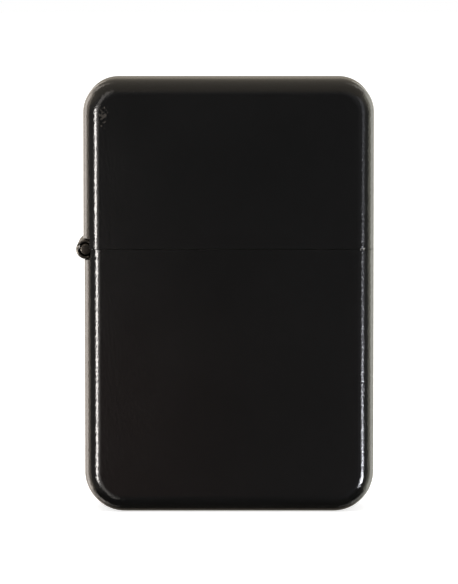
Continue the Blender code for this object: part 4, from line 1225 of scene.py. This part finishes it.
# Where each turn lies, and the angle that it ends at: round the left or round the right
TURNS = ((LEFT_TURN_X, 270), (RIGHT_TURN_X, -90), (LEFT_TURN_X, 270))
STRANDS, STRAND_R, STRAND_WEAVE = 6, 0.3 * MM, 0.16 * MM
STRAND_STEP = 0.16 * MM
STRAND_MID = WICK_R - STRAND_R - STRAND_WEAVE


def run_height(index):
    """The middle of the room for the wick below a pad."""
    return PAD_STACK_TOP - index * PAD_SPACING - (PAD_THICK + PAD_SPACING) / 2


route = [(WICK_X, WICK_TOP - STRAND_R)]
route += arc(WICK_X - FIRST_BEND_R, run_height(0) + FIRST_BEND_R, FIRST_BEND_R, 0, -90, FIRST_BEND_STEPS)
for index, (turn_x, end) in enumerate(TURNS):
    middle = (run_height(index) + run_height(index + 1)) / 2
    route += arc(turn_x, middle, PAD_SPACING / 2, 90, end, TURN_STEPS)
route.append((WICK_END_X, run_height(len(TURNS))))


def walk(points, step):
    """Places and directions at even steps along a line of points."""
    places = []
    left_over = 0.0
    for a, b in zip(points, points[1:]):
        start, way = Vector(a), Vector(b) - Vector(a)
        while left_over < way.length:
            places.append((start + way.normalized() * left_over, way.normalized()))
            left_over += step
        left_over -= way.length
    return places


steps = walk(route, STRAND_STEP)
print("wick:", round(len(steps) * STRAND_STEP / MM), "mm long")

# %% [markdown]
# ## The braid
# The wick is a round braid: six strands wind one way and six the other, and each passes over and under the
# strands that it meets. The strands are wires along computed lines, over a plain core.

# %% Braid
CORE_EVERY, CORE_SIDES, STRAND_SIDES = 3, 12, 6
crossing = STRAND_MID * math.pi / STRANDS
strands = []
for strand in range(2 * STRANDS):
    hand = 1 if strand < STRANDS else -1
    line = []
    for i, (spot, way) in enumerate(steps):
        s = i * STRAND_STEP
        angle = 2 * math.pi * strand / STRANDS + hand * s / STRAND_MID
        reach = STRAND_MID + hand * STRAND_WEAVE * math.cos(math.pi * s / crossing)
        across = reach * math.cos(angle)
        line.append((spot.x + way.y * across, reach * math.sin(angle), spot.y - way.x * across))
    strands.append(line)
middle_line = [(spot.x, 0, spot.y) for spot, way in steps[::CORE_EVERY]]
core = along_points("wick_core", [middle_line], STRAND_MID - STRAND_WEAVE, CORE_SIDES)
wick = along_points("braided_wick", strands, STRAND_R, STRAND_SIDES)
only(wick)
core.select_set(True)
bpy.ops.object.join()
put_on_frame(wick, "wick", "insert", "wick_cotton", WICK_COTTON)

# %% [markdown]
# ## Cotton and felt
# Five pads of loose cotton fill the tank with the wick between them, and a felt pad covers the filling
# opening. A block with rounded edges is remeshed into an even skin, which a cloud texture then pulls in and
# out: wadding is lumpy where it isn't held.

# %% Pads
LUMP_SIZE, LUMP_DETAIL = 1.5 * MM, 3
PADS = 5
TUBE_ROOM, WICK_ROOM, SCREW_ROOM = 2.1 * MM, 1.7 * MM, 2.5 * MM
WADDING = {"rounding": 1.1 * MM, "voxel": 0.3 * MM, "lumps": 0.25 * MM}
PRESSED = {"rounding": 0.5 * MM, "voxel": 0.25 * MM, "lumps": 0.05 * MM}
ROUNDING_SEGMENTS = 4
fluff = bpy.data.textures.new("wadding_lumps", "CLOUDS")
fluff.noise_scale = LUMP_SIZE
fluff.noise_depth = LUMP_DETAIL


def upright_rod(name, x, radius, low, high):
    """A round bar along the height of the lighter, for cutting."""
    return start_piece(name, bpy.ops.mesh.primitive_cylinder_add, vertices=ROUND, radius=radius,
                       depth=high - low, location=(x, 0, (low + high) / 2))


def soft_pad(name, node, holes, rounding, voxel, lumps):
    """A soft block in the room of a CAD node, with round holes of (x, radius)."""
    low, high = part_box(node)
    inset = Vector((lumps, lumps, lumps))
    pad = block(name, low + inset, high - inset)
    edit(pad)
    bpy.ops.mesh.select_all(action="SELECT")
    bevel(rounding, ROUNDING_SEGMENTS)
    leave()
    for x, radius in holes:
        combine(pad, upright_rod("room", x, radius + lumps / 2, low.z - MM, high.z + MM))
    apply_modifier(pad, "REMESH", mode="VOXEL", voxel_size=voxel)
    apply_modifier(pad, "DISPLACE", texture=fluff, strength=2 * lumps, mid_level=0.5, texture_coords="LOCAL")
    apply_modifier(pad, "SMOOTH", factor=0.5, iterations=1)
    return pad


# The flint tube passes through every pad but the short third one, and the wick comes up through the first
for index in range(1, PADS + 1):
    node = f"cotton_pad_{index}"
    holes = [] if index == 3 else [(WHEEL_X, TUBE_ROOM)]
    if index == 1:
        holes.append((WICK_X, WICK_ROOM))
    pad = soft_pad(f"wadding_{index}", node, holes, **WADDING)
    put_on_frame(pad, node, "insert", "cotton", COTTON)
felt = soft_pad("felt_flap", "felt_pad", [(WHEEL_X, SCREW_ROOM)], **PRESSED)
put_on_frame(felt, "felt_pad", "insert", "felt", FELT)
